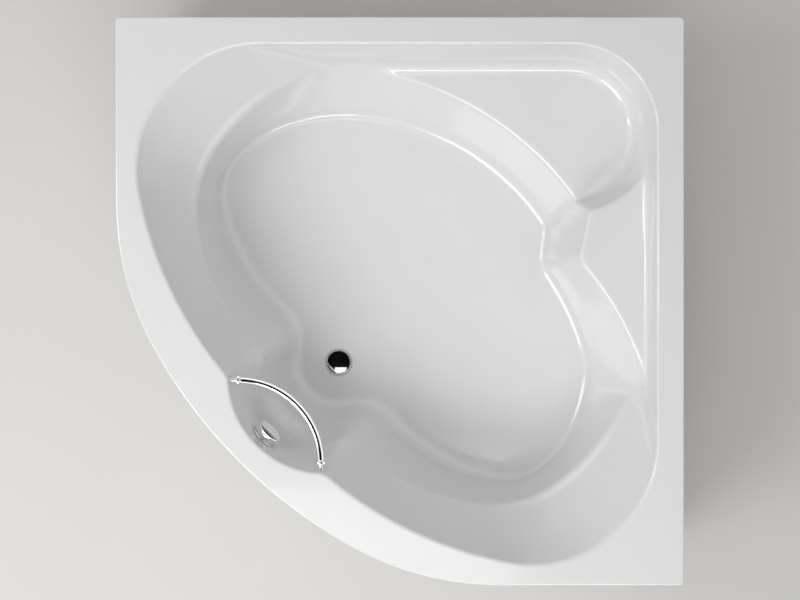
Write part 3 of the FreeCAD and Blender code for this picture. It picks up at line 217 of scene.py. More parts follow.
def inside_niche(p, upper, lower, share):
    (high_u, high_radius), (low_u, low_radius) = NICHE[upper], NICHE[lower]
    middle = high_u + share * (low_u - high_u)
    return high_radius + share * (low_radius - high_radius) - np.hypot(p[:, 0] - middle, p[:, 1])


def out_of_well(p, upper, lower, share, r):
    """How far points lie outside oval and niche, with the ridge between them rounded by r."""
    return soften_join(-WELL_LEAN * inside_oval(p, upper, lower, share),
                       -WELL_LEAN * inside_niche(p, upper, lower, share), r)


def line_side(p, a, b):
    """How far points lie to the left of the line from a to b; a and b may change with height."""
    du, dv = b[0] - a[0], b[1] - a[1]
    return (du * (p[:, 1] - a[1]) - dv * (p[:, 0] - a[0])) / np.hypot(du, dv)


def circle_middle(a, b, c):
    """Middle of the circle through three plan points."""
    d = 2 * (a[0] * (b[1] - c[1]) + b[0] * (c[1] - a[1]) + c[0] * (a[1] - b[1]))
    aa, bb, cc = [q[0] ** 2 + q[1] ** 2 for q in (a, b, c)]
    return ((aa * (b[1] - c[1]) + bb * (c[1] - a[1]) + cc * (a[1] - b[1])) / d,
            (aa * (c[0] - b[0]) + bb * (a[0] - c[0]) + cc * (b[0] - a[0])) / d)


def round_side(p, a, b, c):
    """How far points lie inside the circle through three plan points."""
    u, v = circle_middle(a, b, c)
    return np.hypot(a[0] - u, a[1] - v) - np.hypot(p[:, 0] - u, p[:, 1] - v)


def out_of_shelf(p):
    """How far points lie outside the block that the shelf stands on."""
    p = p * (1.0, -1.0, 1.0)
    share = grade(p[:, 2], SHELF_FOOT_Z, SHELF_Z, -0.1, 1.1)
    first, nose, between, last = [(f[0] + share * (t[0] - f[0]), f[1] + share * (t[1] - f[1]))
                                  for f, t in zip(SHELF_FOOT, SHELF_TOP)]
    facet = FACET_LEAN * line_side(p, first, nose)
    side = SHELF_SIDE_LEAN * round_side(p, nose, between, last)
    end = SHELF_END_LEAN * round_side(p, first, *[(first[0] + u, first[1] + v) for u, v in SHELF_END])
    block = soften_meet(soften_meet(facet, side, SHELF_NOSE_ROUND), end, SHELF_EDGE_ROUND)
    return soften_meet(block, p[:, 2] - SHELF_Z, SHELF_EDGE_ROUND)


def out_of_land(p):
    """How far points lie outside the hollow in front of the overflow's land."""
    du, dz = p[:, 0] - LAND[0], p[:, 2] - LAND[1]
    front = du * math.cos(LEAN) + dz * math.sin(LEAN)
    up = dz * math.cos(LEAN) - du * math.sin(LEAN)
    round_land = soften_meet(np.hypot(up, p[:, 1]) - LAND_RADIUS, -front, LAND_ROUND)
    return np.maximum(round_land, front - LAND_DEPTH)


def out_of_void(p):
    """How far points lie outside all that is hollow."""
    u, z = p[:, 0], p[:, 2]
    floor = floor_level(u)
    ridge = RIDGE_ROUND + RIDGE_MORE * grade(z, RIM_Z, floor) ** RIDGE_POWER
    high = out_of_well(p, "rim", "seat", grade(z, RIM_Z, SEAT_Z, -0.1, 1.1), ridge)
    low = out_of_well(p, "mid", "floor", grade(z, SEAT_Z, floor, -0.3, 1.1), ridge)
    low = np.where(z > SEAT_Z, np.maximum(low, high), low)
    low = soften_meet(low, floor - z, FLOOR_COVE - FLOOR_COVE_LESS * grade(u, *FLOOR_COVE_U))
    low = soften_meet(low, z - SEAT_Z - BASIN_TOP, BASIN_TOP_ROUND)
    void = soften_join(soften_meet(high, SEAT_Z - z, SEAT_COVE), low, SEAT_EDGE_ROUND)
    void = soften_join(void, out_of_land(p), LAND_JOIN)
    cove = SHELF_COVE + END_COVE_MORE * grade(u, *END_COVE_U) * grade(z, *END_COVE_Z, 0.25)
    return soften_meet(void, -out_of_shelf(p), cove)


def in_material(p):
    """How deep points lie in the moulding, taken as solid up to the rim."""
    return soften_join(RIM_Z - p[:, 2], out_of_void(p), RIM_ROUND)


def settle(p, level, rounds):
    """Move points to where they lie level deep in the material."""
    step, reach, least = 0.05, 12.0, 0.09
    for _ in range(rounds):
        depth = in_material(p)
        slope = np.stack([(in_material(p + step * axis) - depth) / step for axis in np.eye(3)], axis=1)
        size = np.maximum((slope ** 2).sum(axis=1), least)
        p = p - np.clip((depth - level) / size, -reach, reach)[:, None] * slope
    return p


# ---- rails

GROUPS = (156, 26, 42, 54, 42)  # stations on each part of half a rail
SHELF_STATIONS = (26, 16, 28, 58, 28)  # the first part's, beside the shelf
SHELF_LENGTHS = (0.0, 198.0, 248.0, 402.0, 870.0, 1114.0)  # where these meet along the rim
CLOSER_BEFORE = 1.7  # powers that draw stations to the niche's edge
CLOSER_AFTER = 1.5

# Where the rails of seat, middle and floor turn beside the shelf, and what they follow of its arc.
SEAT_KEYS = ((766.0, 155.0), (741.0, 201.3), (632.3, 310.0), (301.0, 641.0))
MID_KEYS = ((541.0, 147.0), (537.0, 190.0), (418.7, 265.0), (301.0, 641.0))
FOOT_KEYS = ((455.0, 140.0), (447.0, 146.0), (365.2, 219.6), (236.0, 530.0))
SHELF_RAILS = ((SEAT_KEYS, None, None), (MID_KEYS, SHELF_TOP[1:], (0.0, 0.89)),
               (FOOT_KEYS, SHELF_FOOT[1:], (0.02, 0.81)))

NEAR = 50.0  # rails that lie nearer in plan part in height, by this much at most
PART = 60.0
PART_LESS = 15.0  # by so much less on the shelf


def dense(run, stop):
    """Points along a run's pieces before a turn, about a millimetre apart."""
    points = [run[0][3][None]]
    for piece in run:
        if piece[1] >= stop:
            break
        count = max(2, int(piece_length(piece)))
        points.append(on_piece(piece, np.linspace(0, 1, count + 1)[1:]))
    return np.concatenate(points)


def lengths_to(points):
    """Length of a line up to each of its plan points."""
    return np.concatenate(((0.0,), np.cumsum(np.hypot(*np.diff(points, axis=0).T))))


def along(points, shares):
    """Points at shares of the length of a dense line."""
    lengths = lengths_to(points)
    at = shares * lengths[-1]
    return np.stack([np.interp(at, lengths, points[:, k]) for k in range(2)], axis=1)


def half_rail(name):
    """Dense line of one side of an outline, in parts split at the turns that all outlines share."""
    run = RUNS[name]
    niche_u, niche_radius = NICHE[name]
    turns = np.linspace(*TURNS[-2:], 4001)
    ends = run[-1][4] + run[-1][0] * way(turns)
    cusp = turns[np.argmax(np.hypot(ends[:, 0] - niche_u, ends[:, 1]) < niche_radius)]
    parts = [dense(run, TURNS[2])]
    for (size, first, _, _, middle), last in zip(run[-3:], TURNS[3:5] + (cusp,)):
        parts.append(middle + size * way(np.linspace(first, last, 200)))
    u, v = parts[-1][-1]
    start = math.degrees(math.atan2(v, u - niche_u))
    parts.append((niche_u, 0.0) + niche_radius * way(np.linspace(start, 180.0, 200)))
    return parts


def stations(part):
    """Shares of a part's length at which its stations stand, closer at the niche's edge."""
    t = np.arange(GROUPS[part]) / GROUPS[part]
    return (t, t, t, 1 - (1 - t) ** CLOSER_BEFORE, t ** CLOSER_AFTER)[part]


def blend(a, b, t):
    return a + t[:, None] * np.subtract(b, a)


def round_points(a, b, c, shares):
    """Points on the circle through three plan points, at shares of the way from the first to the last."""
    middle = circle_middle(a, b, c)
    first, last = np.unwrap([math.atan2(q[1] - middle[1], q[0] - middle[0]) for q in (a, c)])
    return middle + math.dist(a, middle) * way(np.degrees(first + (last - first) * shares))


def shelf_rails(lines, plain):
    """Plan rails of the shelf's side, v taken positive, and the level of seat and shelf along them."""
    t = [np.arange(count) / count for count in SHELF_STATIONS]
    ends = np.array(SHELF_LENGTHS) / SHELF_LENGTHS[-1]
    at = np.concatenate([low + (high - low) * part for low, high, part in zip(ends, ends[1:], t)])
    firsts = [along(lines[0][0], at)]
    for (line, *_), (keys, arc, shares) in zip(lines[1:], SHELF_RAILS):
        reach = np.argmin(np.hypot(*(line - keys[0]).T)) / (len(line) - 1)
        if arc:
            bend = round_points(*arc, shares[0] + t[3] * (shares[1] - shares[0]))
        else:
            bend = blend(keys[2], keys[3], t[3])
        firsts.append(np.concatenate((along(line, t[0] * reach), blend(keys[0], keys[1], t[1]),
                                      blend(keys[1], keys[2], t[2]), bend, blend(keys[3], line[-1], t[4]))))
    rails = [np.concatenate((first, rail[GROUPS[0]:])) for first, rail in zip(firsts, plain)]
    rise = (0 * t[0], t[1], np.ones(len(t[2]) + len(t[3])), 1 - t[4])
    level = np.full(len(rails[0]), SEAT_Z)
    level[:GROUPS[0]] += (SHELF_Z - SEAT_Z) * np.concatenate(rise)
    return rails, level


def raised(rails, level):
    """Rails with their heights.  Those of seat and middle part where they lie close together in plan."""
    gap = np.hypot(*(rails[1] - rails[2]).T)
    spread = (PART - PART_LESS * (level > SEAT_Z)) * grade(gap, NEAR, 0.0)
    heights = (RIM_Z, level + spread, level - spread, floor_level(rails[3][:, 0]))
    return [lifted(*pair) for pair in zip(rails, heights)]


def smooth_round(values, passes):
    for _ in range(passes):
        values = 0.5 * values + 0.25 * (np.roll(values, 1, axis=0) + np.roll(values, -1, axis=0))
    return values


def all_rails():
    """Rails of rim, seat, middle and floor right round: the plain side, the niche, the shelf side back."""
    lines = [half_rail(name) for name in RUNS]
    plain = [np.concatenate([along(part, stations(k)) for k, part in enumerate(line)]) for line in lines]
    rails = []
    for line, one, other in zip(lines, raised(plain, SEAT_Z), raised(*shelf_rails(lines, plain))):
        end = np.append(line[-1][-1], one[-1, 2])
        rails.append(np.concatenate((one, [end], other[:0:-1] * (1.0, -1.0, 1.0))))
    rails[3][:, 2] = floor_level(rails[3][:, 0])
    return [smooth_round(rail, 6) for rail in rails]


# ---- rows of the well

RINGS = (16, 14, 18, 14)  # rows from rail to rail and on to the drain
BACK_RINGS = (8, 7, 9, 7)
RIM_OUTS = (24.0, 19.0, 14.0, 11.0, 8.0, 5.0)  # rows on the flat rim, by their distance from the well
BACK_OUTS = (32.0, 27.0, 22.0, 17.0)
ROW_PULL = 0.75  # how much rows draw together at the rails
DRAIN_SKIRT = 46.0
SPREADS = ((1, (466, 536), 90), (2, (466, 536), 90), (3, (466, 536), 140),  # rail, stations, passes
           (2, (232, 409), 60), (3, (205, 436), 400))
BOW = 27.0  # how far the rows over the seat bow out beside the end wall
BOW_PLACES = (578, 634)
NICHE_PLACES = (225, 416)  # stations round the niche, and at the shelf's nose
NOSE_PLACES = (476, 520)

# Rows of the drain's recess: (radius, depth under the floor), then (radius, height) of level ones.
RECESS_EDGE = ((44.0, 0.0), (42.0, 0.0), (40.8, 0.0), (40.3, 0.12), (39.8, 0.5), (39.55, 1.1), (39.5, 1.9))
RECESS = ((39.5, 146.6), (39.3, 145.7), (38.8, 145.2), (38.0, 145.0), (36.0, 145.0), (28.0, 145.0),
          (26.6, 145.0), (26.1, 144.6), (26.0, 144.0), (26.0, BOSS_Z))
RECESS_BACK = ((45.5, 142.5), (45.5, BOSS_Z + 0.6), (44.9, BOSS_Z))


def lifted(plan, z):
    """Plan points at a height, or each at its own."""
    return np.column_stack((plan, np.full(len(plan), z)))


def on_floor(plan, drop=0.0):
    return lifted(plan, floor_level(plan[:, 0]) - drop)


def drain_ring(radius, turns):
    return np.column_stack((DRAIN_U + radius * np.cos(turns), radius * np.sin(turns)))


def skirt_round(foot):
    """Points round the drain, turned nearly as the floor's edge is seen from there."""
    even = np.linspace(0, 2 * np.pi, len(foot), endpoint=False)
    seen = np.unwrap(np.arctan2(foot[:, 1], foot[:, 0] - DRAIN_U))
    return on_floor(drain_ring(DRAIN_SKIRT, np.maximum.accumulate(even + 0.9 * smooth_round(seen - even, 40))))


def drain_rows(skirt, sloping, level):
    turns = np.arctan2(skirt[:, 1], skirt[:, 0] - DRAIN_U)
    return ([on_floor(drain_ring(radius, turns), drop) for radius, drop in sloping]
            + [lifted(drain_ring(radius, turns), height) for radius, height in level])


def spread_out(rail, places, passes):
    """Rail with the points of one part evened out along it, less so towards the part's ends."""
    at = grade(np.arange(len(rail)), *places)
    share = np.clip(3.0 * np.sin(np.pi * at), 0.0, 1.0)[:, None]
    return rail + share * (smooth_round(rail, passes) - rail)


def relax(points, rows, places, passes, level):
    """Even out the points of a part of a skin, each pass back onto its surface."""
    (top, foot), (left, right) = rows, places
    for _ in range(passes):
        part = points[top - 1:foot + 1, left - 1:right + 1]
        mean = 0.25 * (part[1:-1, :-2] + part[1:-1, 2:] + part[:-2, 1:-1] + part[2:, 1:-1])
        points[top:foot, left:right] = settle(mean.reshape(-1, 3), level, 2).reshape(mean.shape)


def well_points(rails, rings, level, outs):
    """Points of one skin of the well: rows from the flat rim down to the drain, each right round."""
    rim = rails[0]
    outward = edge_points(0.0, RIM_Z, edge_places(rim))[:, :2] - rim[:, :2]
    outward /= np.hypot(*outward.T)[:, None]
    rows = [lifted(rim[:, :2] + out * outward, rim[:, 2] - level) for out in outs]
    ends = list(rails)
    for number, places, passes in SPREADS:
        ends[number] = spread_out(ends[number], places, passes)
    ends.append(skirt_round(ends[3]))
    bow = np.zeros(rim.shape)
    arch = np.sin(np.pi * np.linspace(0, 1, BOW_PLACES[1] - BOW_PLACES[0]))
    bow[slice(*BOW_PLACES), 1] = -BOW * np.clip(1.5 * arch, 0, 1)
    for number, (count, first, last) in enumerate(zip(rings, ends, ends[1:])):
        t = np.arange(count) / count
        if number < 3:
            t = t - ROW_PULL * np.sin(2 * np.pi * t) / (2 * np.pi)
        over = bow if number == 1 else 0.0
        rows += [first + s * (last - first) + math.sin(math.pi * s) * over for s in t]
    rows.append(ends[4] - (0.0, 0.0, level))
    points = np.array(rows)
    shape = points[1:-1].shape
    points[1:-1] = settle(points[1:-1].reshape(-1, 3), level, 10).reshape(shape)
    for _ in range(3):
        inner = points[1:-1]
        mean = 0.25 * (np.roll(inner, 1, axis=1) + np.roll(inner, -1, axis=1) + points[:-2] + points[2:])
        inner = (inner + 0.5 * (mean - inner)).reshape(-1, 3)
        points[1:-1] = settle(inner, level, 3).reshape(shape)
    seat, middle, floor, drain = len(outs) + np.cumsum(rings)
    half = rings[2] // 2
    relax(points, (floor - half, drain), NICHE_PLACES, 60, level)
    relax(points, (seat, middle + half), NOSE_PLACES, 25, level)
    return points


# ---- rows of the outer edge

LIP_BACK = 14  # rows of the lip before its raw inner face
LIP_ROWS = ((9.0, 580.0), (5.6, 580.0), (5.0, 580.0), (3.4, 579.75), (1.9, 579.0), (0.8, 577.8),
            (0.2, 576.4), (0.0, 574.6), (0.0, 572.0), (0.0, 545.0), (0.0, 541.6), (0.3, 540.6),
            (1.2, 540.0), (4.8, 540.0), (5.7, 540.6), (6.0, 541.6), (6.0, 569.0), (6.4, 571.5),
            (7.6, 573.2), (9.6, 574.0), (14.0, 574.0))  # (inset, height)
EDGE_KNOTS = (46.0, 1206.0, 1292.0)  # lengths along the rim's inner edge that face the edge's joints


def edge_run(inset):
    """One side of the rim's outer edge, drawn in by inset, from the room corner to the front."""
    side = SIDE / 2 - inset
    corner = max(EDGE_CORNER - inset, 0.5)
    front = FRONT_RADIUS - inset
    joint = (inset - FRONT_APEX + front, 0.0) + front * way(FRONT_TURN)
    reach = side + (joint[0] - joint[1]) * ROOT_HALF
    flank = reach / (1 - math.cos(math.radians(FRONT_TURN - FLANK_TURN)))
    flank_start = joint + flank * (way(FLANK_TURN) - way(FRONT_TURN))
    straight = side - corner - flank_start.sum() * ROOT_HALF
    return follow(square_start(inset, corner), (corner, 2 * (side - corner), corner, straight, flank, front),
                  (0.0, 45.0, 45.0, FLANK_TURN, FLANK_TURN, FRONT_TURN, 180.0))


def both_sides(half, z, stop=None):
    """Row at a height: plan points of one half, then the same mirrored, backwards as far as stop."""
    return lifted(np.concatenate((half, half[-2:stop:-1] * (1.0, -1.0))), z)


def edge_points(inset, z, places):
    """Points of the outer edge at places, each the number of a piece of its run and a share of it."""
    run = edge_run(inset)
    return both_sides(np.array([on_piece(run[number], share) for number, share in places]), z, 0)


def edge_places(rim):
    """Places on the outer edge that face the stations of the rim's inner edge."""
    steps = lengths_to(rim[:len(rim) // 2 + 1, :2])
    lengths = [piece_length(piece) for piece in edge_run(0.0)]
    ends = np.concatenate(((0.0,), np.cumsum(lengths)))
    at = np.interp(steps, (0.0, *EDGE_KNOTS, steps[-1]), (*ends[:4], ends[-1]))
    numbers = np.clip(np.searchsorted(ends, at, side="right") - 1, 0, 5)
    return [(number, (s - ends[number]) / lengths[number]) for number, s in zip(numbers, at)]


# ---- making pieces

def shown(name, data):
    """Object of a mesh, curve, lamp or camera, in the scene."""
    made = bpy.data.objects.new(name, data)
    bpy.context.scene.collection.objects.link(made)
    return made


def mesh_of(name, bm):
    """Mesh of a bmesh that isn't needed any more."""
    mesh = bpy.data.meshes.new(name)
    bm.to_mesh(mesh)
    bm.free()
    return mesh


def evaluated(piece):
    """Mesh of a piece as its modifiers or its curve give it."""
    bpy.context.view_layer.update()
    return bpy.data.meshes.new_from_object(piece.evaluated_get(bpy.context.evaluated_depsgraph_get()))


def finished_piece(name, bm, node, finishes, body="bath", place=Matrix(), into=DIAGONAL, merge=0.01):
    """Turn a bmesh, drawn in millimetres unless into says else, into a piece that stands for a node."""
    bmesh.ops.remove_doubles(bm, verts=bm.verts, dist=merge)
    bmesh.ops.recalc_face_normals(bm, faces=bm.faces)
    for matrix in (place, into):
        bmesh.ops.transform(bm, matrix=matrix, verts=bm.verts)
    mesh = mesh_of(name, bm)
    mesh.shade_smooth()
    for finish in finishes:
        mesh.materials.append(finish)
    piece = shown(name, mesh)
    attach(piece, body)
    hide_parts(node)
    return piece


def turned(bm, profile, steps=128):
    """Spin a closed profile of (radius, height) right round the Z axis."""
    verts = [bm.verts.new((r, 0, h)) for r, h in profile]
    edges = [bm.edges.new(pair) for pair in zip(verts, verts[1:] + verts[:1])]
    bmesh.ops.spin(bm, geom=verts + edges, cent=(0, 0, 0), axis=(0, 0, 1), angle=2 * math.pi, steps=steps,
                   use_merge=True)
    bmesh.ops.remove_doubles(bm, verts=bm.verts, dist=0.001)
    bmesh.ops.dissolve_degenerate(bm, edges=bm.edges, dist=0.001)
    bmesh.ops.recalc_face_normals(bm, faces=bm.faces)


def soften(bm, width, segments=3, where=None, steep=35.0):
    """Round the sharp edges of a bmesh, or those of them that where picks."""
    sharp = [e for e in bm.edges if e.is_manifold and e.calc_face_angle(0) > math.radians(steep)]
    sharp = [e for e in sharp if where is None or where((e.verts[0].co + e.verts[1].co) / 2)]
    bmesh.ops.bevel(bm, geom=sharp, offset=width, offset_type="OFFSET", segments=segments, profile=0.5,
                    affect="EDGES", clamp_overlap=True, material=-1)


def close_ends(bm):
    bmesh.ops.holes_fill(bm, edges=[e for e in bm.edges if e.is_boundary])


def facing(point, across, axis):
    """Matrix that puts a piece drawn on the Z axis at a point and along an axis."""
    return Matrix.Translation(point) @ Matrix((across, axis.cross(across), axis)).transposed().to_4x4()


def bar_place(side):
    """Matrix for one end of the grab bar, pointing into the wall."""
    turn = math.radians(BAR_HALF_TURN)
    end = Vector((BAR_MIDDLE_U + BAR_BEND * math.cos(turn), side * BAR_BEND * math.sin(turn), BAR_Z))
    axis = Vector((-math.sin(turn), side * math.cos(turn), 0.0))
    return facing(end, Vector((0.0, 0.0, 1.0)).cross(axis), axis)


def rod(bm, radius, low, high, place, steps=96):
    made = bmesh.ops.create_cone(bm, cap_ends=True, segments=steps, radius1=radius, radius2=radius,
                                 depth=high - low)["verts"]
    bmesh.ops.transform(bm, matrix=place @ Matrix.Translation((0, 0, (low + high) / 2)), verts=made)


def combine(piece, bm, operation):
    """Join a bmesh to a piece, or cut it out of it."""
    bmesh.ops.recalc_face_normals(bm, faces=bm.faces)
    bmesh.ops.transform(bm, matrix=DIAGONAL, verts=bm.verts)
    tool = shown("tool", mesh_of("tool", bm))
    step = piece.modifiers.new("step", "BOOLEAN")
    step.operation = operation
    step.object = tool
    step.solver = "EXACT"
    made = evaluated(piece)
    piece.modifiers.remove(step)
    made.name = piece.name
    piece.data = made
    bpy.data.objects.remove(tool)


def skin(rows):
    """Mesh over rows of points, from a grid, with the last row joined to the first."""
    bm = bmesh.new()
    rows = np.concatenate((rows, rows[:1]))
    made = bmesh.ops.create_grid(bm, x_segments=rows.shape[1] - 1, y_segments=len(rows) - 1, size=1.0)
    for vert, point in zip(made["verts"], rows.reshape(-1, 3).tolist()):
        vert.co = point
    bm.verts.index_update()
    return bm


# ---- finishes

def math_node(operation, reflected=False):
    """Method that adds a Math node for an operator, or for its reflected form."""
    def method(self, other):
        values = {0: other, 1: self} if reflected else {0: self, 1: other}
        return self.finish.node("Math", {"operation": operation}, values)
    return method


class Amount:
    """A socket's value.  Sums, products and powers of it add Math nodes."""

    __add__ = __radd__ = math_node("ADD")
    __sub__ = math_node("SUBTRACT")
    __rsub__ = math_node("SUBTRACT", True)
    __mul__ = __rmul__ = math_node("MULTIPLY")
    __pow__ = math_node("POWER")
    __rpow__ = math_node("POWER", True)
    to_and_fro = math_node("PINGPONG")

    def __init__(self, finish, socket):
        self.finish = finish
        self.socket = socket

    def between(self, low, high):
        """Rises smoothly from 0 at low to 1 at high."""
        return self.finish.node("MapRange", {"interpolation_type": "SMOOTHSTEP"},
                                {"Value": self, "From Min": low, "From Max": high})


class Finish:
    """The nodes of a material, or of the world, under construction."""

    def __init__(self, name, kind=bpy.data.materials, coordinates="Object"):
        self.made = kind.new(name)
        self.made.use_nodes = True
        self.tree = self.made.node_tree
        self.tree.nodes.clear()
        self.place = self.node("TexCoord", out=coordinates)

    def node(self, kind, settings=(), sockets=(), out=0):
        made = self.tree.nodes.new("ShaderNode" + kind)
        for key, value in dict(settings).items():
            if key == "stops":
                stops = made.color_ramp.elements
                while len(stops) < len(value):
                    stops.new(0.5)
                for stop, (spot, colour) in zip(stops, value):
                    stop.position = spot
                    stop.color = colour
            else:
                setattr(made, key, value)
        for key, value in dict(sockets).items():
            if isinstance(value, Amount):
                self.tree.links.new(value.socket, made.inputs[key])
            else:
                made.inputs[key].default_value = value
        return Amount(self, made.outputs[out]) if made.outputs else None

    def stretched(self, stretch):
        return self.node("Mapping", {}, {"Vector": self.place, "Scale": stretch})

    def noise(self, scale, detail=2.0, roughness=0.5, stretch=(1, 1, 1)):
        return self.node("TexNoise", {}, {"Vector": self.stretched(stretch), "Scale": scale,
                                          "Detail": detail, "Roughness": roughness})

    def spots(self, scale, stretch=(1, 1, 1), out="Distance"):
        return self.node("TexVoronoi", {}, {"Vector": self.stretched(stretch), "Scale": scale}, out)

    def mix(self, share, a, b):
        return self.node("Mix", {"data_type": "RGBA"}, {0: share, 6: a, 7: b}, 2)

    def bump(self, height, depth, strength, **more):
        return self.node("Bump", {}, {"Height": height, "Distance": depth, "Strength": strength, **more})

    def surface(self, colour, roughness, **sockets):
        named = {key.replace("_", " ").title(): value for key, value in sockets.items()}
        shader = self.node("BsdfPrincipled", {}, {"Base Color": colour, "Roughness": roughness, **named})
        self.node("OutputMaterial", {}, {"Surface": shader})
        return self.made


def tone(r, g, b, share=1.0):
    return (share * r, share * g, share * b, 1.0)


def gloss_acrylic(name):
    """Sanitary acrylic: a deep gloss with the faint waviness of a drawn sheet and a film of use."""
    f = Finish(name)
    white = (0.72, 0.72, 0.718)
    film = f.noise(9.0, 4.0).between(0.35, 0.7)
    marks = f.noise(60.0, 3.0, stretch=(1, 1, 0.3)).between(0.62, 0.8)
    waves = f.bump(f.noise(5.0, 1.0), 0.0006, 0.35)
    shade = f.mix(film * 0.5, tone(*white), tone(*white, 0.975))
    return f.surface(shade, 0.10 + 0.035 * film + 0.05 * marks,
                     normal=f.bump(f.noise(600.0, 1.0), 0.00001, 0.3, Normal=waves),
                     coat_weight=0.25, coat_roughness=0.05)


def glass_fibre():
    """Sprayed chopped strands in resin on the back of the acrylic."""
    f = Finish("glass fibre")
    strands = (f.spots(90.0, (1, 6, 2)) * f.spots(110.0, (5, 1, 3))).between(0.01, 0.22)
    cloud = f.noise(14.0, 5.0, 0.6)
    resin = f.mix(cloud, tone(0.55, 0.53, 0.44), tone(0.72, 0.71, 0.64))
    shade = f.mix(strands * 0.55, resin, tone(0.82, 0.81, 0.76))
    return f.surface(shade, 0.42 + 0.3 * strands, normal=f.bump(strands * 0.5 + cloud, 0.0012, 0.8))


def chrome(name):
    """Plated and polished, with faint smears and drops."""
    f = Finish(name)
    smears = f.noise(40.0, 4.0, 0.6).between(0.45, 0.75)
    dots = f.spots(260.0).between(0.1, 0.0)
    return f.surface(tone(0.83, 0.84, 0.86), 0.035 + 0.045 * smears + 0.05 * dots, metallic=1.0,
                     normal=f.bump(f.noise(30.0, 1.0), 0.0001, 0.15))


def rubber():
    """Black rubber, grey with dust in places."""
    f = Finish("rubber")
    dust = f.noise(70.0, 4.0).between(0.5, 0.8)
    shade = f.mix(dust * 0.4, tone(0.022, 0.022, 0.023), tone(0.075, 0.072, 0.068))
    return f.surface(shade, 0.62 + 0.2 * dust, normal=f.bump(f.noise(900.0, 3.0), 0.0002, 0.5))


def zinc_steel(name, colour, spangle_scale):
    """Galvanised steel with its spangle, scuffed in lines."""
    f = Finish(name)
    value = f.node("SeparateColor", {}, {0: f.spots(spangle_scale, out="Color")})
    scratches = f.noise(50.0, 5.0, 0.65, (1, 1, 14)).between(0.6, 0.72)
    shade = f.mix(value, tone(*colour, 0.78), tone(*colour))
    shade = f.mix(scratches * 0.35, shade, tone(0.66, 0.66, 0.66))
    return f.surface(shade, 0.34 + 0.14 * value - 0.08 * scratches, metallic=1.0,
                     normal=f.bump(value, 0.00006, 0.4))


def threaded_steel():
    """Bright zinc on a rod, with the thread's turns across it."""
    f = Finish("threaded rod")
    height = f.node("SeparateXYZ", {}, {0: f.place}, "Z")
    turns = (height * 1000.0).to_and_fro(0.875)
    grease = f.noise(160.0, 3.0).between(0.5, 0.7)
    shade = f.mix(grease * 0.3, tone(0.62, 0.63, 0.62), tone(0.30, 0.29, 0.25))
    return f.surface(shade, 0.28 + 0.2 * grease, metallic=1.0, normal=f.bump(turns, 0.0007, 0.9))


def brass():
    """Brass with the lathe's fine lines, dulled in patches."""
    f = Finish("turned brass")
    dull = f.noise(60.0, 4.0).between(0.45, 0.7)
    shade = f.mix(dull, tone(0.70, 0.50, 0.21), tone(0.50, 0.34, 0.14))
    return f.surface(shade, 0.24 + 0.22 * dull, metallic=1.0,
                     normal=f.bump(f.noise(220.0, 2.0, 0.5, (1, 1, 12)), 0.00008, 0.5))


def chipboard():
    """Chips pressed flat in the board, long one way, with dark specks of bark."""
    f = Finish("chipboard")
    value = f.node("SeparateColor", {}, {0: f.spots(120.0, (1, 2.6, 3.0), "Color")})
    fine = f.noise(420.0, 4.0, 0.7)
    bark = f.spots(70.0, (1.3, 1, 2)).between(0.12, 0.05)
    shade = f.mix(value, tone(0.42, 0.29, 0.16), tone(0.62, 0.47, 0.30))
    shade = f.mix(fine * 0.4, shade, tone(0.70, 0.57, 0.40))
    shade = f.mix(bark * 0.7, shade, tone(0.17, 0.10, 0.06))
    return f.surface(shade, 0.72 + 0.15 * value, normal=f.bump(value + fine, 0.0004, 0.6))


def pine(name, stretch):
    """Sawn pine with its rings drawn out along the length."""
    f = Finish(name)
    rings = (f.noise(3.0, 2.0, 0.5, stretch) * 26.0).to_and_fro(1.0)
    fibres = f.noise(260.0, 4.0, 0.7, stretch)
    shade = f.mix(rings ** 2.0, tone(0.70, 0.50, 0.28), tone(0.52, 0.32, 0.15))
    shade = f.mix(fibres * 0.35, shade, tone(0.80, 0.62, 0.40))
    return f.surface(shade, 0.60 + 0.2 * fibres, normal=f.bump(fibres + rings, 0.0003, 0.6))


def moulded_plastic(name, colour, roughness):
    """Injection-moulded plastic: a fine spark-eroded grain, flow clouds and light handling marks."""
    f = Finish(name)
    rubbed = f.noise(90.0, 5.0, 0.6, (1, 1, 5)).between(0.58, 0.72)
    shade = f.mix(f.noise(22.0, 3.0), tone(*colour, 0.93), tone(*colour))
    shade = f.mix(rubbed * 0.15, shade, tone(*[min(1.0, 1.2 * c + 0.02) for c in colour]))
    return f.surface(shade, roughness + 0.12 * rubbed,
                     normal=f.bump(f.noise(500.0, 3.0), 0.0001, 0.5))


def pale_floor():
    f = Finish("floor")
    cloud = f.noise(1.6, 3.0)
    shade = f.mix(cloud, tone(0.60, 0.59, 0.57), tone(0.63, 0.62, 0.60))
    return f.surface(shade, 0.75 + 0.1 * cloud)


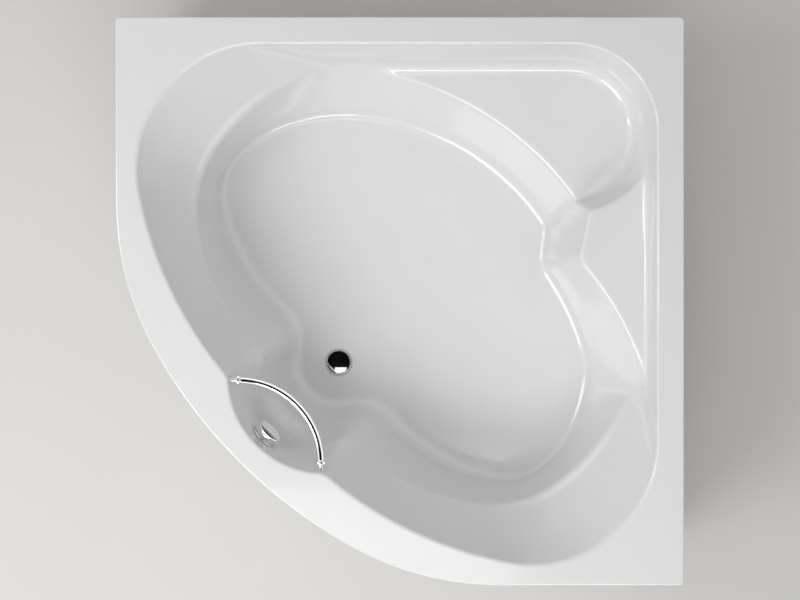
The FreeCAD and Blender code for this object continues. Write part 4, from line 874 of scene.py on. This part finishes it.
def dress_nodes():
    """Give the nodes that stay the finish of their slot."""
    plain = {"chrome": chrome("chrome of small fittings"), "rubber": rubber(),
             "frame_steel": zinc_steel("zinc plated frame", (0.62, 0.63, 0.64), 90.0),
             "spring_steel": zinc_steel("spring steel", (0.42, 0.43, 0.45), 400.0),
             "zinc": zinc_steel("zinc plated fittings", (0.66, 0.66, 0.62), 300.0),
             "brass": brass(), "board": chipboard(), "batten": pine("batten", (0.6, 14, 14)),
             "white_plastic": moulded_plastic("white plastic", (0.70, 0.70, 0.68), 0.32),
             "grey_plastic": moulded_plastic("grey plastic", (0.30, 0.31, 0.32), 0.42),
             "black_plastic": moulded_plastic("black plastic", (0.030, 0.030, 0.032), 0.40),
             "cable_sheath": moulded_plastic("cable sheath", (0.045, 0.045, 0.05), 0.48),
             "panel_acrylic": moulded_plastic("panel", (0.8, 0.8, 0.8), 0.2)}
    rod_finish = threaded_steel()
    along_y = pine("batten along the side", (14, 0.6, 14))
    for part in frame["record"]["subparts"]:
        finish = plain.get(part["material_slot"], plain["chrome"])
        if part["node"].startswith("foot_rod"):
            finish = rod_finish
        if part["node"] == "rim_batten_side":
            finish = along_y
        for slot in frame["nodes"][part["node"]].material_slots:
            slot.material = finish
    return plain


# ---- hose and cable

# Middles of hose and cable, from overflow to waste; the routes are those of the CAD tubes.
HOSE_ROUTE = ((-538.98, 0.0, 449.3), (-538.98, 0.0, 256.3), (-538.98, 0.0, 171.8), (-479.2, 0.0, 112.0),
              (-394.7, 0.0, 112.0), (-297.0, 0.0, 112.0))
CABLE_ROUTE = ((-538.98, 31.8, 465.5), (-538.98, 56.8, 440.5), (-538.98, 64.8, 403.5), (-542.98, 63.8, 350.5),
               (-543.98, 57.8, 290.5), (-536.98, 49.8, 235.5), (-516.98, 42.8, 185.5), (-480.98, 37.8, 143.5),
               (-434.98, 33.8, 115.5), (-386.98, 28.8, 101.0), (-333.0, 24.0, 97.0), (-295.0, 24.0, 97.0))
HOSE_RIBS = 88
HOSE_RADIUS = 19.0
HOSE_CUFF = 0.022  # plain length at each end, in metres
CUFF_END = 0.001
RIB_SHAPE = ((0.0, 16.8), (0.12, 16.8), (0.3, 18.3), (0.5, 19.0), (0.7, 18.3), (0.88, 16.8))


def smooth_line(name, route):
    """Curve of one NURBS spline with the route's points as its control points."""
    curve = bpy.data.curves.new(name, "CURVE")
    curve.dimensions = "3D"
    line = curve.splines.new("NURBS")
    line.points.add(len(route) - 1)
    for point, place in zip(line.points, route):
        point.co = (*(DIAGONAL @ Vector(place)), 1.0)
    line.order_u = 3
    line.use_endpoint_u = True
    line.resolution_u = 24
    return shown(name, curve)


def line_points(piece):
    """Points of a curve's own line and its length, in metres."""
    mesh = evaluated(piece)
    points = [v.co.copy() for v in mesh.vertices]
    bpy.data.meshes.remove(mesh)
    return points, sum((b - a).length for a, b in zip(points, points[1:]))


def at_length(points, place):
    """Point and direction at a length along a line."""
    for a, b in zip(points, points[1:]):
        step = (b - a).length
        if place <= step or b is points[-1]:
            return a.lerp(b, min(1.0, place / step)), (b - a).normalized()
        place -= step


def make_hose(finish):
    """Ribbed hose: each rib is a round crest between two valleys, swept along the hose's line."""
    line = smooth_line("hose_line", HOSE_ROUTE)
    points, whole = line_points(line)
    bpy.data.objects.remove(line)
    across = (DIAGONAL.to_3x3() @ Vector((0, 1, 0))).normalized()
    pitch = (whole - 2 * HOSE_CUFF) / HOSE_RIBS
    rings = [(0.0, HOSE_RADIUS), (HOSE_CUFF - CUFF_END, HOSE_RADIUS)]
    for i in range(HOSE_RIBS):
        rings += [(HOSE_CUFF + (i + share) * pitch, radius) for share, radius in RIB_SHAPE]
    rings += [(whole - HOSE_CUFF + CUFF_END, HOSE_RADIUS), (whole, HOSE_RADIUS)]
    bm = bmesh.new()
    before = []
    for place, radius in rings:
        point, course = at_length(points, place)
        made = bmesh.ops.create_circle(bm, cap_ends=False, radius=radius / 1000, segments=40)["verts"]
        bmesh.ops.transform(bm, matrix=facing(point, across, course), verts=made)
        ring = list(dict.fromkeys(edge for vert in made for edge in vert.link_edges))
        if before:
            bmesh.ops.bridge_loops(bm, edges=before + ring)
        before = ring
    close_ends(bm)
    piece = finished_piece("ribbed_hose", bm, "overflow_hose", [finish],
                           into=Matrix(), merge=1e-7)


def make_cable(finish):
    piece = smooth_line("cable_sheath", CABLE_ROUTE)
    points, whole = line_points(piece)
    piece.data.bevel_depth = 0.003
    piece.data.bevel_resolution = 5
    piece.data.use_fill_caps = True
    piece.data.materials.append(finish)
    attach(piece, "bath")
    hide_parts("pull_cable")


# ---- moulding and panel

BAR_MIDDLE_U = -607.0
BAR_BEND = 220.0
BAR_HALF_TURN = 43.6
BAR_Z = 558.0
OVERFLOW = facing((LAND[0], 0.0, LAND[1]), Vector((0.0, 1.0, 0.0)),
                  Vector((math.cos(LEAN), 0.0, math.sin(LEAN))))

PANEL_ROWS = ((8.0, 566.0), (8.0, 20.0), (8.3, 15.5), (9.6, 12.9), (12.0, 12.0), (28.0, 12.0), (28.0, 16.0),
              (13.6, 16.0), (12.3, 17.0), (12.0, 20.0), (12.0, 566.0))  # (inset, height)
PANEL_END = 706.0  # where the panel stops short of the walls


def make_moulding(inner, outer):
    """The moulded bath: one closed skin, acrylic in front and glass fibre behind, with its pads and holes."""
    rails = all_rails()
    inside = well_points(rails, RINGS, 0.0, RIM_OUTS)
    inside = np.concatenate((inside, drain_rows(inside[-1], RECESS_EDGE, RECESS)))
    behind = well_points(rails, BACK_RINGS, WALL, BACK_OUTS)
    behind = np.concatenate((behind, drain_rows(behind[-1], (), RECESS_BACK)))
    places = edge_places(rails[0])
    edge = np.array([edge_points(inset, z, places) for inset, z in LIP_ROWS])
    rows = np.concatenate((inside[::-1], edge, behind))
    rows = np.concatenate((rows, rows[:, :1]), axis=1)
    bm = skin(rows)
    back = (len(inside) + LIP_BACK) * rows.shape[1]
    for face in bm.faces:
        face.material_index = int(min(vert.index for vert in face.verts) >= back)
    piece = finished_piece("moulding", bm, "bath_shell", [inner, outer], merge=0.0005)
    pads = bmesh.new()
    rod(pads, 46.0, -8.5, -3.0, OVERFLOW)
    holes = bmesh.new()
    rod(holes, 24.0, -20.0, 10.0, OVERFLOW)
    for side in (1, -1):
        rod(pads, 14.0, 27.0, 34.0, bar_place(side), 48)
        rod(holes, 5.3, 6.0, 60.0, bar_place(side), 48)
    combine(piece, pads, "UNION")
    combine(piece, holes, "DIFFERENCE")


def panel_row(inset, z):
    """Points of one row of the panel, from one wall round the front to the other."""
    run = edge_run(inset)[3:]
    u, v = run[0][3]
    x = (u - v) * ROOT_HALF
    points = [((x + PANEL_END) * ROOT_HALF, (PANEL_END - x) * ROOT_HALF)]
    for piece in run:
        steps = 12 if piece[1] == piece[2] else 60
        points += [point for point in on_piece(piece, np.linspace(0, 1, steps + 1)[1:])
                   if point.sum() * ROOT_HALF < PANEL_END - 1]
    return both_sides(np.array(points), z)


def make_panel(finish):
    """Curved apron: one sheet swept along the front edge, its foot turned in."""
    bm = skin(np.array([panel_row(inset, z) for inset, z in PANEL_ROWS]))
    bmesh.ops.remove_doubles(bm, verts=bm.verts, dist=0.001)
    close_ends(bm)
    finished_piece("apron", bm, "front_panel", [finish])


# ---- waste, overflow and grab bar

DRAIN = Matrix.Translation((DRAIN_U, 0, 0))
FLANGE_Z = 147.0
PLUG_Z = 151.8
PLUG_CROWN = 260.0  # radius of its crown
STEM_LOW = 105.0
STEM_BORE = 4.06
KNOB_R = 36.0
KNOB_BACK = 6.0  # both in front of the land
KNOB_FRONT = 24.0
GRIP_R = 4.2  # radius and depth of the hollows round the knob, and the turn between two
GRIP_DEPTH = 1.6
GRIP_TURN = 30.0


def off_axis(p):
    return math.hypot(p.x, p.y)


def round_axis(turn, out, up=0.0):
    """Matrix that moves a piece out and up, then turns it round the Z axis."""
    return Matrix.Rotation(math.radians(turn), 4, "Z") @ Matrix.Translation((out, 0, up))


def make_flange(finish):
    bm = bmesh.new()
    top = FLANGE_Z + 3.0
    low = FLANGE_Z - 22.0
    turned(bm, [(23.0, top), (35.0, top), (35.0, FLANGE_Z), (25.5, FLANGE_Z), (25.5, low), (23.0, low)])
    soften(bm, 1.0, 4, lambda p: p.z > top - 0.1)
    soften(bm, 0.3, 2)
    turned(bm, [(STEM_BORE, low), (9.0, low), (9.0, low + 10.0), (STEM_BORE, low + 10.0)], 48)
    for turn in (45.0, 135.0, 225.0, 315.0):
        spoke = bmesh.ops.create_cube(bm, size=1.0)["verts"]
        place = round_axis(turn, 16.2, low + 5.0) @ Matrix.Diagonal((15.4, 2.5, 10.0, 1.0))
        bmesh.ops.transform(bm, matrix=place, verts=spoke)
    finished_piece("waste_ring", bm, "waste_flange", [finish], place=DRAIN)


def make_plug(finish):
    bm = bmesh.new()
    base = PLUG_Z + 5.0 - PLUG_CROWN
    crown = [(r, base + math.sqrt(PLUG_CROWN ** 2 - r * r))
             for r in (0.0, 6.0, 12.0, 18.0, 24.0, 29.0, 33.5)]
    turned(bm, crown + [(33.5, PLUG_Z), (4.0, PLUG_Z), (4.0, STEM_LOW + 2.0), (7.0, STEM_LOW + 2.0),
                        (7.0, STEM_LOW), (0.0, STEM_LOW)])
    soften(bm, 0.7, 4, lambda p: p.z > PLUG_Z + 1.0)
    soften(bm, 0.3, 2)
    finished_piece("plug_disc", bm, "waste_plug", [finish], "plug", DRAIN)


def make_rosette(finish):
    bm = bmesh.new()
    turned(bm, [(STEM_BORE, 5.0), (38.0, 5.0), (38.0, 0.0), (22.0, 0.0), (22.0, -16.0), (19.5, -16.0),
                (19.5, 0.0), (STEM_BORE, 0.0)], 144)
    soften(bm, 1.5, 5, lambda p: p.z > 4.9 and off_axis(p) > 30.0)
    piece = finished_piece("rosette", bm, "overflow_rosette", [finish], place=OVERFLOW)
    slots = bmesh.new()
    for turn in range(0, 360, 60):
        rod(slots, 4.0, -2.0, 8.0, OVERFLOW @ round_axis(turn, 13.5), 32)
    combine(piece, slots, "DIFFERENCE")


def make_knob(finish):
    bm = bmesh.new()
    face = KNOB_FRONT - 0.7
    inner = KNOB_FRONT - 3.0
    turned(bm, [(0.0, face), (32.2, face), (33.4, KNOB_FRONT), (KNOB_R, KNOB_FRONT), (KNOB_R, KNOB_BACK),
                (31.4, KNOB_BACK), (31.4, inner), (8.0, inner), (8.0, KNOB_BACK), (4.0, KNOB_BACK),
                (4.0, 18.0), (0.0, 18.0)], 360)
    soften(bm, 1.6, 5, lambda p: off_axis(p) > KNOB_R - 0.5 and p.z > KNOB_FRONT - 1.0)
    soften(bm, 0.4, 3, steep=28.0)
    upright = [e for e in bm.edges if abs(e.verts[0].co.z - e.verts[1].co.z) > 10.0
               and off_axis(e.verts[0].co) > KNOB_R - 1.0]
    bmesh.ops.subdivide_edges(bm, edges=upright, cuts=3)
    reach = KNOB_R + GRIP_R - GRIP_DEPTH
    for vert in bm.verts:
        radius = off_axis(vert.co)
        turn = math.degrees(math.atan2(vert.co.y, vert.co.x)) % GRIP_TURN - GRIP_TURN / 2
        side = reach * math.sin(math.radians(turn))
        if radius > KNOB_R - 1.8 and abs(side) < GRIP_R:
            hollow = reach * math.cos(math.radians(turn)) - math.sqrt(GRIP_R ** 2 - side ** 2)
            vert.co.xy *= (radius - max(0.0, KNOB_R - hollow)) / radius
    finished_piece("overflow_handle", bm, "overflow_knob", [finish], "knob", OVERFLOW)


def make_grab_bar(finish):
    """A bent tube, and at each of its ends a collar and a post."""
    bm = bmesh.new()
    made = bmesh.ops.create_circle(bm, cap_ends=False, radius=9.5, segments=48)["verts"]
    place = round_axis(-BAR_HALF_TURN, BAR_BEND, BAR_Z) @ Matrix.Rotation(math.radians(90), 4, "X")
    bmesh.ops.transform(bm, matrix=place, verts=made)
    bmesh.ops.spin(bm, geom=bm.verts[:] + bm.edges[:], cent=(0, 0, 0), axis=(0, 0, 1),
                   angle=math.radians(2 * BAR_HALF_TURN), steps=96)
    close_ends(bm)
    bmesh.ops.translate(bm, vec=(BAR_MIDDLE_U, 0, 0), verts=bm.verts)
    finished_piece("bar_tube", bm, "grab_bar", [finish])
    for name, profile, steps, rounding in (
            ("collars", [(5.0, 0.0), (14.5, 0.0), (14.5, 8.0), (5.0, 8.0)], 64,
             (2.2, 5, lambda p: off_axis(p) > 14.0)),
            ("posts", [(0.0, 8.0), (5.0, 8.0), (5.0, 46.0), (0.0, 46.0)], 48, (0.6, 2))):
        pair = bmesh.new()
        for side in (1, -1):
            one = bmesh.new()
            turned(one, profile, steps)
            soften(one, *rounding)
            bmesh.ops.transform(one, matrix=bar_place(side), verts=one.verts)
            mesh = mesh_of("end", one)
            pair.from_mesh(mesh)
            bpy.data.meshes.remove(mesh)
        finished_piece("bar_" + name, pair, "grab_bar_" + name, [finish])


# ---- room, light and camera

LAMPS = (("key", (-2.35, -2.35, 3.6), (0.1, 0.1, 0.3), (2.0, 2.0), 80.0),
         ("strip below", (0.3, -3.3, 3.6), (0.0, 0.1, 0.3), (2.0, 0.7), 34.0),
         ("strip left", (-3.3, 0.3, 3.6), (0.1, 0.0, 0.3), (0.7, 2.0), 28.0),
         ("overhead", (-0.1, -1.5, 5.3), (-0.1, 0.0, 0.3), (1.5, 0.9), 9.0))

# Brightness by height, where the room lights the bath and where gloss reflects it.
ROOM_STOPS = ((0.0, tone(0.45, 0.45, 0.45)), (0.95, tone(1.0, 1.0, 1.0)))
GLOSS_STOPS = ((0.5, tone(2.0, 2.0, 2.0)), (0.9, tone(0.005, 0.005, 0.005)))
ROOM_STRENGTH = 0.68


def make_camera():
    lens = bpy.data.cameras.new("camera")
    lens.lens = 71.7
    lens.sensor_fit = "HORIZONTAL"
    lens.clip_end = 60.0
    view = shown("camera", lens)
    view.location = (0.0005, 0.0032, 4.78)
    bpy.context.scene.camera = view


def make_room():
    bm = bmesh.new()
    bmesh.ops.create_grid(bm, x_segments=1, y_segments=1, size=9.0)
    floor = shown("floor", mesh_of("floor", bm))
    floor.data.materials.append(pale_floor())
    for name, place, aim, size, power in LAMPS:
        light = bpy.data.lights.new(name, "AREA")
        light.shape = "RECTANGLE"
        light.size, light.size_y = size
        light.energy = power
        lamp = shown(name, light)
        lamp.location = place
        lamp.rotation_euler = (Vector(aim) - Vector(place)).to_track_quat("-Z", "Y").to_euler()
    studio = Finish("studio", bpy.data.worlds, "Generated")
    height = studio.node("SeparateXYZ", {}, {0: studio.place}, "Z")
    room, gloss = [studio.node("ValToRGB", {"stops": stops}, {0: height})
                   for stops in (ROOM_STOPS, GLOSS_STOPS)]
    seen = studio.mix(studio.node("LightPath", out="Is Glossy Ray"), room, gloss)
    shade = studio.node("Background", {}, {"Color": seen, "Strength": ROOM_STRENGTH})
    studio.node("OutputWorld", {}, {"Surface": shade})
    bpy.context.scene.world = studio.made


bpy.context.scene.view_settings.view_transform = "Standard"
make_camera()
plain = dress_nodes()
make_hose(plain["grey_plastic"])
make_cable(plain["cable_sheath"])
polish = chrome("polished chrome")
make_moulding(gloss_acrylic("white acrylic"), glass_fibre())
make_flange(polish)
make_plug(polish)
make_rosette(polish)
make_knob(polish)
make_grab_bar(polish)
make_panel(gloss_acrylic("white acrylic of the panel"))
make_room()
